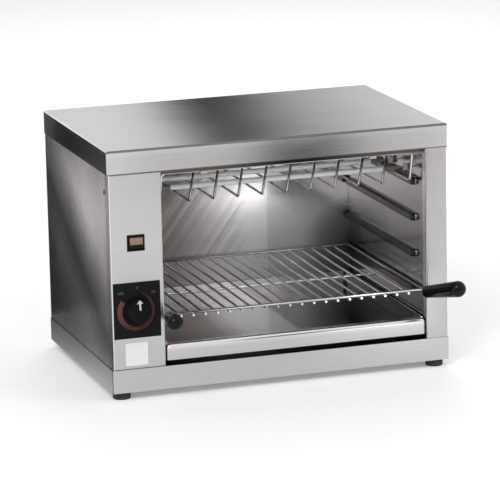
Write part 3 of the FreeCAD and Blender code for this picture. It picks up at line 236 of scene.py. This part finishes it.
def spread(tree, value, low, high, newLow=0, newHigh=1):
    part = tree.nodes.new("ShaderNodeMapRange")
    part.inputs["From Min"].default_value = low
    part.inputs["From Max"].default_value = high
    part.inputs["To Min"].default_value = newLow
    part.inputs["To Max"].default_value = newHigh
    tree.links.new(value, part.inputs["Value"])
    return part.outputs["Result"]


def ramp(tree, value, stops):
    # stops of a place between nought and one, and a grey or a colour
    part = tree.nodes.new("ShaderNodeValToRGB")
    bar = part.color_ramp
    while len(bar.elements) < len(stops):
        bar.elements.new(0.5)
    for element, (spot, shade) in zip(bar.elements, stops):
        element.position = spot
        element.color = (*shade, 1) if isinstance(shade, tuple) else (shade, shade, shade, 1)
    tree.links.new(value, part.inputs["Fac"])
    return part.outputs["Color"]


def shaded(tree, value, stops):
    # colours by length: stops of millimetres, and a grey or a colour
    low, high = stops[0][0], stops[-1][0]
    shares = [((spot - low) / (high - low), shade) for spot, shade in stops]
    return ramp(tree, spread(tree, value, mm(low), mm(high)), shares)


def makeBoard(name, look):
    mesh = bpy.data.meshes.new(name)
    mesh.from_pydata([place(*corner) for corner in look["corners"]], [], [(0, 1, 2, 3)])
    board = linked(name, mesh)
    material, tree, output = emptyMaterial(name)
    glow = tree.nodes.new("ShaderNodeEmission")
    colour = None
    for weights, stops in look["runs"]:
        shade = shaded(tree, measured(tree, weights), stops)
        mix = tree.nodes.new("ShaderNodeVectorMath")
        mix.operation = "MULTIPLY"
        tree.links.new(shade, mix.inputs[0])
        if colour is None:
            mix.inputs[1].default_value = look["tint"]
        else:
            tree.links.new(colour, mix.inputs[1])
        colour = mix.outputs[0]
    tree.links.new(colour, glow.inputs["Color"])
    tree.links.new(glow.outputs[0], output.inputs["Surface"])
    mesh.materials.append(material)
    board.visible_camera = False
    board.visible_diffuse = False
    board.visible_shadow = False
    board.visible_transmission = False


setCamera()
setWorld()
areaLight("key", True)
areaLight("fill", False)
areaLight("rear", False)
makeFloor()
for boardName, boardLook in boards.items():
    makeBoard(boardName, boardLook)
bpy.context.scene.view_settings.view_transform = "Standard"
print("stage: camera, lights, floor and boards")


# Materials. Each has one shader, and its textures follow the object's own coordinates in metres
def startMaterial(name):
    material, tree, output = emptyMaterial(name)
    shader = tree.nodes.new("ShaderNodeBsdfPrincipled")
    tree.links.new(shader.outputs["BSDF"], output.inputs["Surface"])
    return material, tree, shader


def setSockets(shader, values):
    for socket, value in values.items():
        shader.inputs[socket].default_value = value


def coordinates(tree, stretch=(1, 1, 1)):
    source = tree.nodes.new("ShaderNodeTexCoord")
    mapping = tree.nodes.new("ShaderNodeMapping")
    mapping.inputs["Scale"].default_value = stretch
    tree.links.new(source.outputs["Object"], mapping.inputs["Vector"])
    return mapping.outputs["Vector"]


def noise(tree, where, scale, detail=3, roughness=0.55):
    texture = tree.nodes.new("ShaderNodeTexNoise")
    texture.inputs["Scale"].default_value = scale
    texture.inputs["Detail"].default_value = detail
    texture.inputs["Roughness"].default_value = roughness
    tree.links.new(where, texture.inputs["Vector"])
    return texture.outputs["Fac"]


def multiplied(tree, share, colour, shade):
    # a shade laid over a colour, as far as the share says
    part = tree.nodes.new("ShaderNodeMix")
    part.data_type = "RGBA"
    part.blend_type = "MULTIPLY"
    tree.links.new(colour, part.inputs[6])
    tree.links.new(shade, part.inputs[7])
    if share is None:
        part.inputs[0].default_value = 1
    else:
        tree.links.new(share, part.inputs[0])
    return part.outputs[2]


def add(tree, first, second, share=1.0):
    part = tree.nodes.new("ShaderNodeMath")
    part.operation = "MULTIPLY_ADD"
    tree.links.new(second, part.inputs[0])
    part.inputs[1].default_value = share
    tree.links.new(first, part.inputs[2])
    return part.outputs[0]


def bump(tree, height, depth, strength, under=None):
    part = tree.nodes.new("ShaderNodeBump")
    part.inputs["Strength"].default_value = strength
    part.inputs["Distance"].default_value = depth
    tree.links.new(height, part.inputs["Height"])
    if under:
        tree.links.new(under, part.inputs["Normal"])
    return part.outputs["Normal"]


def boxMask(tree, limits, soft=0.15):
    # one inside a box and nought outside; limits are (axis, low, high) in millimetres
    mask = None
    for axis, low, high in limits:
        weights = {"x": (1, 0, 0), "y": (0, 1, 0), "z": (0, 0, 1)}[axis]
        where = measured(tree, weights)
        for edge, inner in ((low, low + soft), (high, high - soft)):
            side = spread(tree, where, mm(edge), mm(inner))
            mask = side if mask is None else paired(tree, "MULTIPLY", mask, side)
    return mask


def shadedAndTinted(tree, colour, shadeAndTintCoats):
    # painted reflections and painted shade, with a few tints, laid over a colour, each along a direction,
    # round a point or in streaks
    for coat in shadeAndTintCoats:
        where = measured(tree, coat.get("along", coat.get("streak", (1, 0, 0))), coat.get("round"))
        if "wobble" in coat:
            drift = noise(tree, coordinates(tree), coat.get("scale", 12), 2)
            where = add(tree, where, spread(tree, drift, 0, 1, -1, 1), mm(coat["wobble"]))
        share = boxMask(tree, coat["inside"], coat.get("soft", 0.15)) if "inside" in coat else None
        if "streak" in coat:
            shade = spread(tree, noise(tree, where, coat["scale"], 2), 0.38, 0.62, coat["low"], 1)
        else:
            shade = shaded(tree, where, coat["stops"])
        colour = multiplied(tree, share, colour, shade)
    return colour


# How each steel is rolled and brushed: along is the grain's direction. Most coats are
# painted reflections and painted shade. A coat's stops are millimetres and a shade, and inside
# keeps the coat to a box
steels = {
    "cover_steel": {
        "colour": (0.61, 0.61, 0.618), "rough": 0.19, "along": "x", "wave": 0.0024,
        "shadeAndTintCoats": [
            # painted shade along the cover's lower edge and a painted dark reflection on its front bend;
            # the flange between is a little lighter towards the top
            {"along": (0, 0, 1), "inside": [("y", -201, -196.9)], "stops": [
                (384, 0.22), (385.4, 0.24), (386.6, 0.9), (412, 0.9), (420.5, 1.0), (422.2, 0.3),
                (424.95, 0.3), (425.2, 1.0)]},
            # painted reflection: the left end flange is near black, lighter towards its back
            {"along": (0, 1, 0.35), "inside": [("x", -301, -299.7), ("z", 384, 423.6)], "soft": 0.3,
             "stops": [(-70, 0.06), (100, 0.08), (262, 0.18), (283, 0.4), (340, 0.6)]},
        ],
    },
    "front_steel": {
        "colour": (0.54, 0.543, 0.555), "rough": 0.30, "along": "x", "wave": 0.0016,
        "shadeAndTintCoats": [
            # painted shade: dark lines at the bottom and top edges of the front faces, where they meet the
            # plinth and the cover
            {"along": (0, 0, 1), "inside": [("y", -199.2, -197)], "stops": [
                (52, 0.35), (53.2, 0.35), (54.2, 1.0), (382.6, 1.0), (383.6, 0.3), (385, 0.3)]},
            # painted shade on the left end faces
            {"along": (1, 0, 0), "inside": [("x", -301, -299)], "stops": [(-301, 0.62), (-299, 0.62)]},
        ],
    },
    "side_steel": {
        "colour": (0.8, 0.785, 0.78), "rough": 0.26, "along": "z", "wave": 0.0024,
        "shadeAndTintCoats": [
            # painted reflection and shade on the left side: dark low at the back, light at the top front
            {"along": (0, -0.6, 1), "wobble": 6, "inside": [("x", -300, -297)], "stops": [
                (-100, 0.33), (40, 0.33), (130, 0.42), (200, 0.12), (262, 0.42), (325, 1.0), (500, 1.0)]},
            # the bright colour carries the left side's painted reflection; the post's front, the right
            # side and the rear are toned down from it
            {"along": (1, 0, 0), "inside": [("x", 200, 301), ("y", -200, -197)],
             "stops": [(200, 0.62), (301, 0.62)]},
            {"along": (1, 0, 0), "inside": [("x", 297, 301)], "stops": [(297, 0.75), (301, 0.75)]},
            {"along": (1, 0, 0), "inside": [("y", 190, 201)], "stops": [(-301, 0.75), (301, 0.75)]},
            # painted shade, darker and browner towards the left side's front edge
            {"along": (0, 1, 0), "inside": [("x", -300, -297)], "stops": [
                (-200, (0.34, 0.315, 0.315)), (-186, (0.34, 0.315, 0.315)), (-174, 0.62), (-120, 0.7),
                (-50, 1.0), (200, 1.0)]},
        ],
    },
    "back_wall_steel": {
        "colour": (0.92, 0.91, 0.905), "rough": 0.10, "along": "z", "wave": 0.0020,
        "roughBy": [(60, 0.3), (150, 0.3), (195, 0.22), (240, 0.03), (300, 0.0)],
        "shadeAndTintCoats": [
            # painted reflection: brownish dark to the left, bright from the middle rightwards
            {"along": (1, 0, 0), "wobble": 6,
             "stops": [(-208, (0.32, 0.285, 0.275)), (-120, (0.35, 0.315, 0.305)),
                       (-70, (0.4, 0.365, 0.355)), (-20, (0.64, 0.61, 0.6)), (25, 0.87), (60, 0.98),
                       (262, 1.0)]},
            # painted reflection: a sharp edge at x = 105 mm, darker to its right
            {"along": (1, 0, 0), "stops": [(90, 1.0), (104, 1.0), (106, 0.8), (262, 0.78)]},
            # painted shade: a darker band from 215 to 245 mm up
            {"along": (0, 0, 1), "stops": [(180, 1.0), (215, 0.84), (245, 0.84), (275, 0.95), (300, 1.0)]},
            {"streak": (0.8, 0, -0.6), "scale": 58, "low": 0.7, "soft": 30,
             "inside": [("x", -230, 70), ("z", 120, 350)]},
            # painted shade: a dark blot in the low back corner by the right wall
            {"round": (261, 190, 130), "wobble": 10, "scale": 20,
             "stops": [(20, 0.3), (60, 0.5), (95, 1.0)]},
        ],
    },
    "side_wall_steel": {
        # its colour is kept darker than the back wall's as painted shade
        "colour": (0.5, 0.48, 0.475), "rough": 0.15, "along": "z", "wave": 0.0024,
        "shadeAndTintCoats": [
            # painted shade: darker towards the bottom and a little towards the top
            {"along": (0, 0, 1), "stops": [(90, 0.55), (160, 0.75), (220, 0.9), (320, 0.8), (380, 0.72)]},
            # painted shade: the ribs that stand into the cavity are nearly black
            {"along": (1, 0, 0), "inside": [("x", -206.6, 260.2)], "soft": 0.4,
             "stops": [(-207, 0.1), (262, 0.1)]},
            # painted shade: the same dark blot in the low back corner
            {"round": (261, 190, 130), "wobble": 10, "scale": 20,
             "stops": [(20, 0.25), (60, 0.45), (95, 1.0)]},
        ],
    },
    "roof_steel": {
        "colour": (0.62, 0.61, 0.6), "rough": 0.14, "along": "x", "wave": 0.0024,
        # painted shade: the roof's front upstand is dark brown
        "shadeAndTintCoats": [{"along": (0, 1, 0), "stops": [(-190, (0.2, 0.16, 0.14)), (-182, (0.2, 0.16, 0.14)),
                                                 (-178, 1.0), (190, 1.0)]}],
    },
    "tray_steel": {
        "colour": (0.92, 0.915, 0.91), "rough": 0.14, "along": "x", "wave": 0.0020,
        "shadeAndTintCoats": [
            # painted reflection of the back wall on the tray floor: brownish to the left, bright in the
            # middle, dark to the right
            {"along": (1, 0, 0), "wobble": 4, "inside": [("y", -184, 186), ("z", 60, 66)], "soft": 1.5,
             "stops": [(-205, (0.42, 0.38, 0.36)), (-70, (0.42, 0.38, 0.36)), (-20, 0.98), (60, 1.0),
                       (70, 0.4), (259, 0.4)]},
            # painted shadow: a dark strip under the rack's right side rail
            {"along": (1, 0, 0), "inside": [("x", 249, 256), ("y", -185, 186)], "soft": 0.4,
             "stops": [(240, 0.08), (260, 0.08)]},
            # painted shade: the lip's front is darker below and lighter near its top
            {"along": (0, 0, 1), "inside": [("y", -200, -186.5)], "stops": [
                (60, 0.6), (76, 0.62), (82, 0.74), (87, 0.86), (90, 0.8)]},
        ],
    },
}

# The brushing that all the steels share
brush = {
    "fine": (14, 700),  # scale along the grain and across it
    "broad": (0.8, 26),
    "grainShare": 0.45,
    "darkest": 0.93,
    "lightest": 1.06,
    "cloudScale": 7,
    "roughBelow": 0.04,
    "roughAbove": 0.03,
    "cloudRough": 0.04,
    "waveScale": 5,
    "grainDepth": 0.000012,
    "grainStrength": 0.6,
}


def byGrain(axis, scales):
    along, across = scales
    return tuple(along if name == axis else across for name in "xyz")


def brushedSteel(name):
    look = steels[name]
    material, tree, shader = startMaterial(name)
    grain = noise(tree, coordinates(tree, byGrain(look["along"], brush["fine"])), 1, 4, 0.6)
    streaks = noise(tree, coordinates(tree, byGrain(look["along"], brush["broad"])), 1, 3, 0.5)
    cloud = noise(tree, coordinates(tree), brush["cloudScale"], 3, 0.5)
    dark = tuple(part * brush["darkest"] for part in look["colour"])
    light = tuple(min(1, part * brush["lightest"]) for part in look["colour"])
    share = brush["grainShare"]
    tone = ramp(tree, add(tree, spread(tree, grain, 0.3, 0.7, 0, share), streaks, 1 - share),
                [(0.1, dark), (0.5, look["colour"]), (0.9, light)])
    tree.links.new(shadedAndTinted(tree, tone, look["shadeAndTintCoats"]), shader.inputs["Base Color"])
    smoothest, roughest = look["rough"] - brush["roughBelow"], look["rough"] + brush["roughAbove"]
    matt = spread(tree, grain, 0.25, 0.75, smoothest, roughest)
    matt = add(tree, matt, cloud, brush["cloudRough"])
    if "roughBy" in look:
        matt = add(tree, matt, shaded(tree, measured(tree, (0, 0, 1)), look["roughBy"]))
    tree.links.new(matt, shader.inputs["Roughness"])
    shader.inputs["Metallic"].default_value = 1
    wave = noise(tree, coordinates(tree), brush["waveScale"], 1, 0.4)
    bent = bump(tree, wave, look["wave"], 1)
    tree.links.new(bump(tree, grain, brush["grainDepth"], brush["grainStrength"], bent),
                   shader.inputs["Normal"])
    return material


mottled = {"scale": 180, "depth": 0.00002, "roughSwing": 0.2}


def plainMetal(name, colour, rough, mottle=0.06):
    material, tree, shader = startMaterial(name)
    cloud = noise(tree, coordinates(tree), mottled["scale"], 3, 0.6)
    low = tuple(part * (1 - mottle) for part in colour)
    tree.links.new(ramp(tree, cloud, [(0.3, low), (0.7, colour)]), shader.inputs["Base Color"])
    swing = rough * mottled["roughSwing"]
    matt = spread(tree, cloud, 0.3, 0.7, rough - swing, rough + swing)
    tree.links.new(matt, shader.inputs["Roughness"])
    shader.inputs["Metallic"].default_value = 1
    tree.links.new(bump(tree, cloud, mottled["depth"], 0.5), shader.inputs["Normal"])
    return material


dull = {"roughSwing": 0.15, "coatRough": 0.12}


def dullSolid(name, colour, rough, grainScale, grainDepth, contrast=0.12, coat=0.0, gleam=0.5):
    material, tree, shader = startMaterial(name)
    grain = noise(tree, coordinates(tree), grainScale, 4, 0.6)
    low = tuple(part * (1 - contrast) for part in colour)
    high = tuple(min(1, part * (1 + contrast)) for part in colour)
    tree.links.new(ramp(tree, grain, [(0.3, low), (0.7, high)]), shader.inputs["Base Color"])
    swing = rough * dull["roughSwing"]
    matt = spread(tree, grain, 0.3, 0.7, rough - swing, min(1, rough + swing))
    tree.links.new(matt, shader.inputs["Roughness"])
    tree.links.new(bump(tree, grain, grainDepth, 0.6), shader.inputs["Normal"])
    setSockets(shader, {"Coat Weight": coat, "Coat Roughness": dull["coatRough"],
                        "Specular IOR Level": gleam})
    return material


quartz = {
    "lines": (6, 400, 400),
    "shades": [(0.2, (0.93, 0.935, 0.94)), (0.8, (0.99, 0.99, 0.99))],
    "depth": 0.00003,
    "sockets": {"Roughness": 0.28, "Subsurface Weight": 0.35, "Subsurface Radius": (0.01, 0.01, 0.01),
                "Subsurface Scale": 0.3, "Coat Weight": 0.5, "Coat Roughness": 0.08},
}


def milkyQuartz():
    material, tree, shader = startMaterial("milky_quartz")
    lines = noise(tree, coordinates(tree, quartz["lines"]), 1, 3, 0.5)
    tree.links.new(ramp(tree, lines, quartz["shades"]), shader.inputs["Base Color"])
    setSockets(shader, quartz["sockets"])
    tree.links.new(bump(tree, lines, quartz["depth"], 0.5), shader.inputs["Normal"])
    return material


lens = {
    "ribs": (900, 20, 60),
    "shades": [(0.2, (0.2, 0.105, 0.045)), (0.8, (0.31, 0.18, 0.09))],
    "lowRim": (1.6, 0.35, 0.9),  # width, shade at the edge, shade inside it
    "highRim": (1.8, 0.3, 1.0),
    "depth": 0.00004,
    "sockets": {"Roughness": 0.22, "Coat Weight": 0.6, "Coat Roughness": 0.1},
}


def amberLens():
    material, tree, shader = startMaterial("amber_lens")
    ribs = noise(tree, coordinates(tree, lens["ribs"]), 1, 2, 0.4)
    low, high = (corner.z * 1000 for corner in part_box("rocker_lens"))
    lowWidth, lowEdge, lowInner = lens["lowRim"]
    highWidth, highEdge, highInner = lens["highRim"]
    rim = {"along": (0, 0, 1), "stops": [(low, lowEdge), (low + lowWidth, lowInner),
                                         (high - highWidth, highInner), (high, highEdge)]}
    amber = shadedAndTinted(tree, ramp(tree, ribs, lens["shades"]), [rim])
    tree.links.new(amber, shader.inputs["Base Color"])
    setSockets(shader, lens["sockets"])
    tree.links.new(bump(tree, ribs, lens["depth"], 0.5), shader.inputs["Normal"])
    return material


# The ring's red is strongest at its thick end and fades towards the thin one
ringInk = {
    "grain": 900,
    "shades": [(0.3, (0.13, 0.042, 0.042)), (0.7, (0.16, 0.054, 0.052))],
    "fade": [(-75, 1.0), (-55, 0.55), (-10, 0.42)],  # millimetres from the plate's middle
    "sockets": {"Roughness": 0.5, "Specular IOR Level": 0.15},
}


def redInk():
    material, tree, shader = startMaterial("red_ink")
    grain = noise(tree, coordinates(tree), ringInk["grain"], 3)
    centre = middle("dial_plate").x * 1000
    fade = {"along": (1, 0, -0.3), "stops": [(centre + off, shade) for off, shade in ringInk["fade"]]}
    red = shadedAndTinted(tree, ramp(tree, grain, ringInk["shades"]), [fade])
    tree.links.new(red, shader.inputs["Base Color"])
    setSockets(shader, ringInk["sockets"])
    return material


finishes = {name: brushedSteel(name) for name in steels}
finishes |= {
    "chromed_wire": plainMetal("chromed_wire", (0.74, 0.735, 0.73), 0.16),
    "zinc": plainMetal("zinc", (0.55, 0.56, 0.58), 0.34, 0.15),
    "dull_zinc": plainMetal("dull_zinc", (0.2, 0.195, 0.19), 0.4, 0.2),
    "heating_alloy": plainMetal("heating_alloy", (0.22, 0.21, 0.2), 0.5, 0.2),
    "quartz": milkyQuartz(),
    "white_ceramic": dullSolid("white_ceramic", (0.76, 0.74, 0.7), 0.35, 120, 0.0001, 0.06, 0.3),
    "dark_ceramic": dullSolid("dark_ceramic", (0.2, 0.17, 0.15), 0.5, 160, 0.0001, 0.1),
    "mineral_wool": dullSolid("mineral_wool", (0.42, 0.34, 0.2), 0.95, 220, 0.002, 0.3),
    "black_gloss": dullSolid("black_gloss", (0.0045, 0.004, 0.004), 0.14, 260, 0.00006, 0.1, gleam=0.16),
    "black_matt": dullSolid("black_matt", (0.0075, 0.007, 0.007), 0.55, 700, 0.00006, 0.12, gleam=0.1),
    "knob_black": dullSolid("knob_black", (0.0045, 0.004, 0.004), 0.42, 500, 0.00005, 0.1, gleam=0.1),
    "black_rubber": dullSolid("black_rubber", (0.018, 0.018, 0.018), 0.7, 900, 0.0001, 0.2),
    "white_label": dullSolid("white_label", (0.8, 0.8, 0.79), 0.45, 500, 0.00002, 0.02),
    "wire_sleeve": dullSolid("wire_sleeve", (0.62, 0.6, 0.55), 0.6, 600, 0.0001, 0.08),
    "amber_lens": amberLens(),
    "red_ink": redInk(),
    "white_ink": dullSolid("white_ink", (0.62, 0.6, 0.58), 0.4, 900, 0.00001, 0.05),
    "grey_ink": dullSolid("grey_ink", (0.13, 0.07, 0.068), 0.4, 900, 0.00001, 0.05),
}
print("stage: materials")

# Which finish each node takes
dressing = {
    "cover_steel": ["top_cover"],
    "front_steel": ["control_panel", "base_pan", "right_bracket", "left_bracket"],
    "side_steel": ["left_side_panel", "right_side_panel", "rear_panel"],
    "back_wall_steel": ["cavity_back_wall"],
    "side_wall_steel": ["left_cavity_wall", "right_cavity_wall"],
    "roof_steel": ["reflector_roof"],
    "tray_steel": ["drip_tray"],
    "chromed_wire": ["wire_rack", "wire_guard"],
    "zinc": ["cover_screws", "rear_screws", "side_screws", "foot_nuts", "foot_screws", "guard_clips",
             "earth_stud", "pin_nuts", "link_bars", "terminal_pins", "bush_collars", "bushing_nut",
             "regulator_shaft"],
    "heating_alloy": ["heating_coils"],
    "quartz": ["quartz_tube_1", "quartz_tube_2", "quartz_tube_3", "quartz_tube_4"],
    "white_ceramic": ["ceramic_bushes", "terminal_block"],
    "dark_ceramic": ["ceramic_caps"],
    "mineral_wool": ["roof_insulation"],
    "black_gloss": ["left_grip", "right_grip"],
    "knob_black": ["regulator_knob"],
    "black_matt": ["switch_housing", "rocker", "dial_plate", "regulator", "cable_gland", "gland_nut"],
    "black_rubber": ["front_left_foot", "front_right_foot", "rear_left_foot", "rear_right_foot"],
    "white_label": ["blank_label"],
    "wire_sleeve": ["earth_wire", "feed_wire", "live_wire", "return_wire", "switch_wire"],
    "amber_lens": ["rocker_lens"],
}

weldReach = 0.000002  # metres within which two corners of a mesh are one

# The soft edges that catch the light; wires, coils and the two side panels go without
edges = {
    "round": 0.35,
    "angle": 38,
    "steps": 2,
    "flatWeight": 100,
    "skip": ["wire_rack", "wire_guard", "heating_coils", "left_side_panel", "right_side_panel"],
}


def dress(name, finish):
    part = nodes[name]
    part.data.materials.clear()
    part.data.materials.append(finishes[finish])
    weld = part.modifiers.new("weld", "WELD")
    weld.merge_threshold = weldReach
    if name not in edges["skip"]:
        bevel = part.modifiers.new("soft_edges", "BEVEL")
        bevel.width = mm(edges["round"])
        bevel.segments = edges["steps"]
        bevel.limit_method = "ANGLE"
        bevel.angle_limit = math.radians(edges["angle"])
        bevel.use_clamp_overlap = True
        flat = part.modifiers.new("flat_faces", "WEIGHTED_NORMAL")
        flat.weight = edges["flatWeight"]
        flat.keep_sharp = False


for finishName, wearers in dressing.items():
    for wearer in wearers:
        dress(wearer, finishName)
undressed = sorted(set(nodes) - {name for names in dressing.values() for name in names})
print("stage: nodes dressed, left over:", undressed)


# Pieces
def ridingPiece(name, mesh, finish, body):
    mesh.materials.clear()
    mesh.materials.append(finishes[finish])
    piece = linked(name, mesh)
    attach(piece, body)
    return piece


def newPiece(name, build, finish, body, smooth=False):
    mesh = bpy.data.meshes.new(name)
    work = bmesh.new()
    build(work)
    work.to_mesh(mesh)
    work.free()
    for face in mesh.polygons:
        face.use_smooth = smooth
    return ridingPiece(name, mesh, finish, body)


def addPlate(work, outline, front, back):
    # a flat plate from an outline of (x, z) points, standing between two depths in y
    near = [work.verts.new((x, front, z)) for x, z in outline]
    far = [work.verts.new((x, back, z)) for x, z in outline]
    work.faces.new(near)
    work.faces.new(list(reversed(far)))
    count = len(outline)
    for index in range(count):
        after = (index + 1) % count
        work.faces.new((near[after], near[index], far[index], far[after]))


# Printed dial: a crescent that grows as it goes round, and the marks beside its ends
dial = {
    "outerRadius": 32.6,
    "ink": 0.08,
    "thinEnd": 20,  # degrees clockwise from the top
    "thickEnd": 309,
    "steps": 96,
    "widths": [(20, 0.6), (60, 4.4), (90, 5.4), (180, 6.5), (240, 8.2), (309, 9.2)],  # by degrees
    "shift": (-1.9, -2.1),
    # number, its place from the plate's middle and its height
    "marks": [("100", -28.2, 30.4, 5.4), ("10", 28.4, 28.6, 5.0), ("0", 0.8, 37.6, 4.8)],
    "fontPerHeight": 1.35,
    "curveSteps": 3,
}
dialMiddle = middle("dial_plate")
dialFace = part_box("dial_plate")[0].y


def inkWidth(angle):
    points = dial["widths"]
    for (start, first), (end, second) in zip(points, points[1:]):
        if angle <= end:
            share = (angle - start) / (end - start)
            return first + (second - first) * share
    return points[-1][1]


def buildCrescent(work):
    ring = []
    for index in range(dial["steps"] + 1):
        angle = dial["thinEnd"] + (dial["thickEnd"] - dial["thinEnd"]) * index / dial["steps"]
        turn = math.radians(angle)
        reach = (dial["outerRadius"], dial["outerRadius"] - inkWidth(angle))
        spots = [(dialMiddle.x + mm(dial["shift"][0] + r * math.sin(turn)),
                  dialMiddle.z + mm(dial["shift"][1] + r * math.cos(turn))) for r in reach]
        front, back = dialFace - mm(dial["ink"]), dialFace
        ring.append([work.verts.new((x, y, z)) for x, z in spots for y in (front, back)])
    for one, two in zip(ring, ring[1:]):
        work.faces.new((one[0], two[0], two[2], one[2]))
        work.faces.new((one[2], two[2], two[3], one[3]))
        work.faces.new((one[1], two[1], two[0], one[0]))
        work.faces.new((one[3], two[3], two[1], one[1]))
    work.faces.new((ring[0][0], ring[0][2], ring[0][3], ring[0][1]))
    work.faces.new((ring[-1][1], ring[-1][3], ring[-1][2], ring[-1][0]))


def addNumber(name, text, x, z, tall):
    curve = bpy.data.curves.new(name + "_outline", "FONT")
    curve.body = text
    curve.size = mm(tall) * dial["fontPerHeight"]
    curve.align_x = "CENTER"
    curve.align_y = "CENTER"
    curve.extrude = mm(dial["ink"]) / 2
    curve.resolution_u = dial["curveSteps"]
    holder = linked(name + "_outline", curve)
    bpy.context.view_layer.update()
    drawn = holder.evaluated_get(bpy.context.evaluated_depsgraph_get())
    mesh = bpy.data.meshes.new_from_object(drawn)
    bpy.data.objects.remove(holder)
    spot = (dialMiddle.x + mm(x), dialFace - mm(dial["ink"]) / 2, dialMiddle.z + mm(z))
    mesh.transform(Matrix.Translation(spot) @ Matrix.Rotation(math.radians(90), 4, "X"))
    return ridingPiece(name, mesh, "grey_ink", "casing")


newPiece("dial_crescent", buildCrescent, "red_ink", "casing")
for index, mark in enumerate(dial["marks"]):
    addNumber(f"dial_number_{index + 1}", *mark)
print("stage: dial")

# Arrow on the knob
arrow = {
    "from": 4.2,
    "neck": 16.2,
    "tip": 21.8,
    "shaft": 3.2,
    "head": 12.0,
    "barbDrop": 1.2,
    "lean": 3,
    "ink": 0.1,
}
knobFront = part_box("regulator_knob")[0].y
knobMiddle = middle("regulator_knob")


def buildArrow(work):
    half, wide = arrow["shaft"] / 2, arrow["head"] / 2
    barb = arrow["neck"] - arrow["barbDrop"]
    points = [(-half, arrow["from"]), (half, arrow["from"]), (half, arrow["neck"]), (wide, barb),
              (0, arrow["tip"]), (-wide, barb), (-half, arrow["neck"])]
    lean = math.radians(arrow["lean"])
    turned = [(x * math.cos(lean) - z * math.sin(lean), x * math.sin(lean) + z * math.cos(lean))
              for x, z in points]
    outline = [(knobMiddle.x + mm(x), knobMiddle.z + mm(z)) for x, z in turned]
    addPlate(work, outline, knobFront - mm(arrow["ink"]), knobFront)


newPiece("knob_arrow", buildArrow, "white_ink", "knob")
print("stage: knob arrow")

# Screws with domed heads and a cross recess, one for each solid of their CAD nodes
screw = {
    "head": 2.4,
    "dome": 1.0,
    "shank": 1.9,
    "armHalf": 0.42,
    "armReach": 2.1,
    "armSlope": 0.16,
    "endSlope": 0.35,
    "recess": 1.1,
    "rings": 22,
    "sides": 48,
}


def solidBoxes(node):
    # lowest and highest corner of each solid of a node
    work = bmesh.new()
    work.from_mesh(nodes[node].data)
    bmesh.ops.remove_doubles(work, verts=work.verts, dist=weldReach)
    left, boxes = set(work.verts), []
    while left:
        seed = left.pop()
        reached, front = [seed], [seed]
        while front:
            vert = front.pop()
            for edge in vert.link_edges:
                other = edge.other_vert(vert)
                if other in left:
                    left.discard(other)
                    reached.append(other)
                    front.append(other)
        boxes.append((Vector([min(v.co[i] for v in reached) for i in range(3)]),
                      Vector([max(v.co[i] for v in reached) for i in range(3)])))
    work.free()
    return sorted(boxes, key=lambda pair: tuple(round(value, 5) for value in pair[0]))


def headHeight(across, up, radius):
    # the dome falls towards its rim, and two crossed arms are sunk into it
    reach = math.hypot(across, up)
    height = screw["head"] - screw["dome"] * (reach / radius) ** 2
    narrow = min(abs(across), abs(up))
    depth = screw["recess"] * min(1, max(0, (screw["armHalf"] - narrow) / screw["armSlope"]))
    return height - depth * min(1, max(0, (screw["armReach"] - reach) / screw["endSlope"]))


def addScrew(work, low, high, outward):
    # outward is the direction the head faces
    axis = max(range(3), key=lambda i: abs(outward[i]))
    centre = (low + high) / 2
    tip = high if outward[axis] > 0 else low
    radius = (high[(axis + 1) % 3] - low[(axis + 1) % 3]) * 500
    base = centre.copy()
    base[axis] = tip[axis] - outward[axis] * mm(screw["head"])
    side = Vector((0, 0, 1)).cross(outward)

    def spot(across, up, height):
        return work.verts.new(base + side * mm(across) + Vector((0, 0, mm(up))) + outward * mm(height))

    length = abs(high[axis] - low[axis]) * 1000
    loops = []
    for reach, height in ((screw["shank"], screw["head"] - length), (screw["shank"], 0), (radius, 0)):
        loops.append([(reach, height)] * screw["sides"])
    for ring in range(screw["rings"], 0, -1):
        loops.append([(radius * ring / screw["rings"], None)] * screw["sides"])
    rows = []
    for loop in loops:
        row = []
        for index, (reach, height) in enumerate(loop):
            turn = 2 * math.pi * index / screw["sides"]
            across, up = reach * math.cos(turn), reach * math.sin(turn)
            row.append(spot(across, up, headHeight(across, up, radius) if height is None else height))
        rows.append(row)
    for one, two in zip(rows, rows[1:]):
        for index in range(screw["sides"]):
            after = (index + 1) % screw["sides"]
            work.faces.new((one[index], one[after], two[after], two[index]))
    work.faces.new(list(reversed(rows[0])))
    crown = spot(0, 0, headHeight(0, 0, radius))
    for index in range(screw["sides"]):
        work.faces.new((rows[-1][index], rows[-1][(index + 1) % screw["sides"]], crown))


def makeScrews(node, finish, outwardOf):
    def build(work):
        for low, high in solidBoxes(node):
            addScrew(work, low, high, outwardOf(low, high))
    piece = newPiece("detailed_" + node, build, finish, "casing", True)
    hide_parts(node)


makeScrews("cover_screws", "zinc", lambda low, high: Vector((0, 1, 0)))
makeScrews("rear_screws", "zinc", lambda low, high: Vector((0, 1, 0)))
makeScrews("side_screws", "dull_zinc", lambda low, high: Vector((1 if low.x > 0 else -1, 0, 0)))
print("stage: screws")
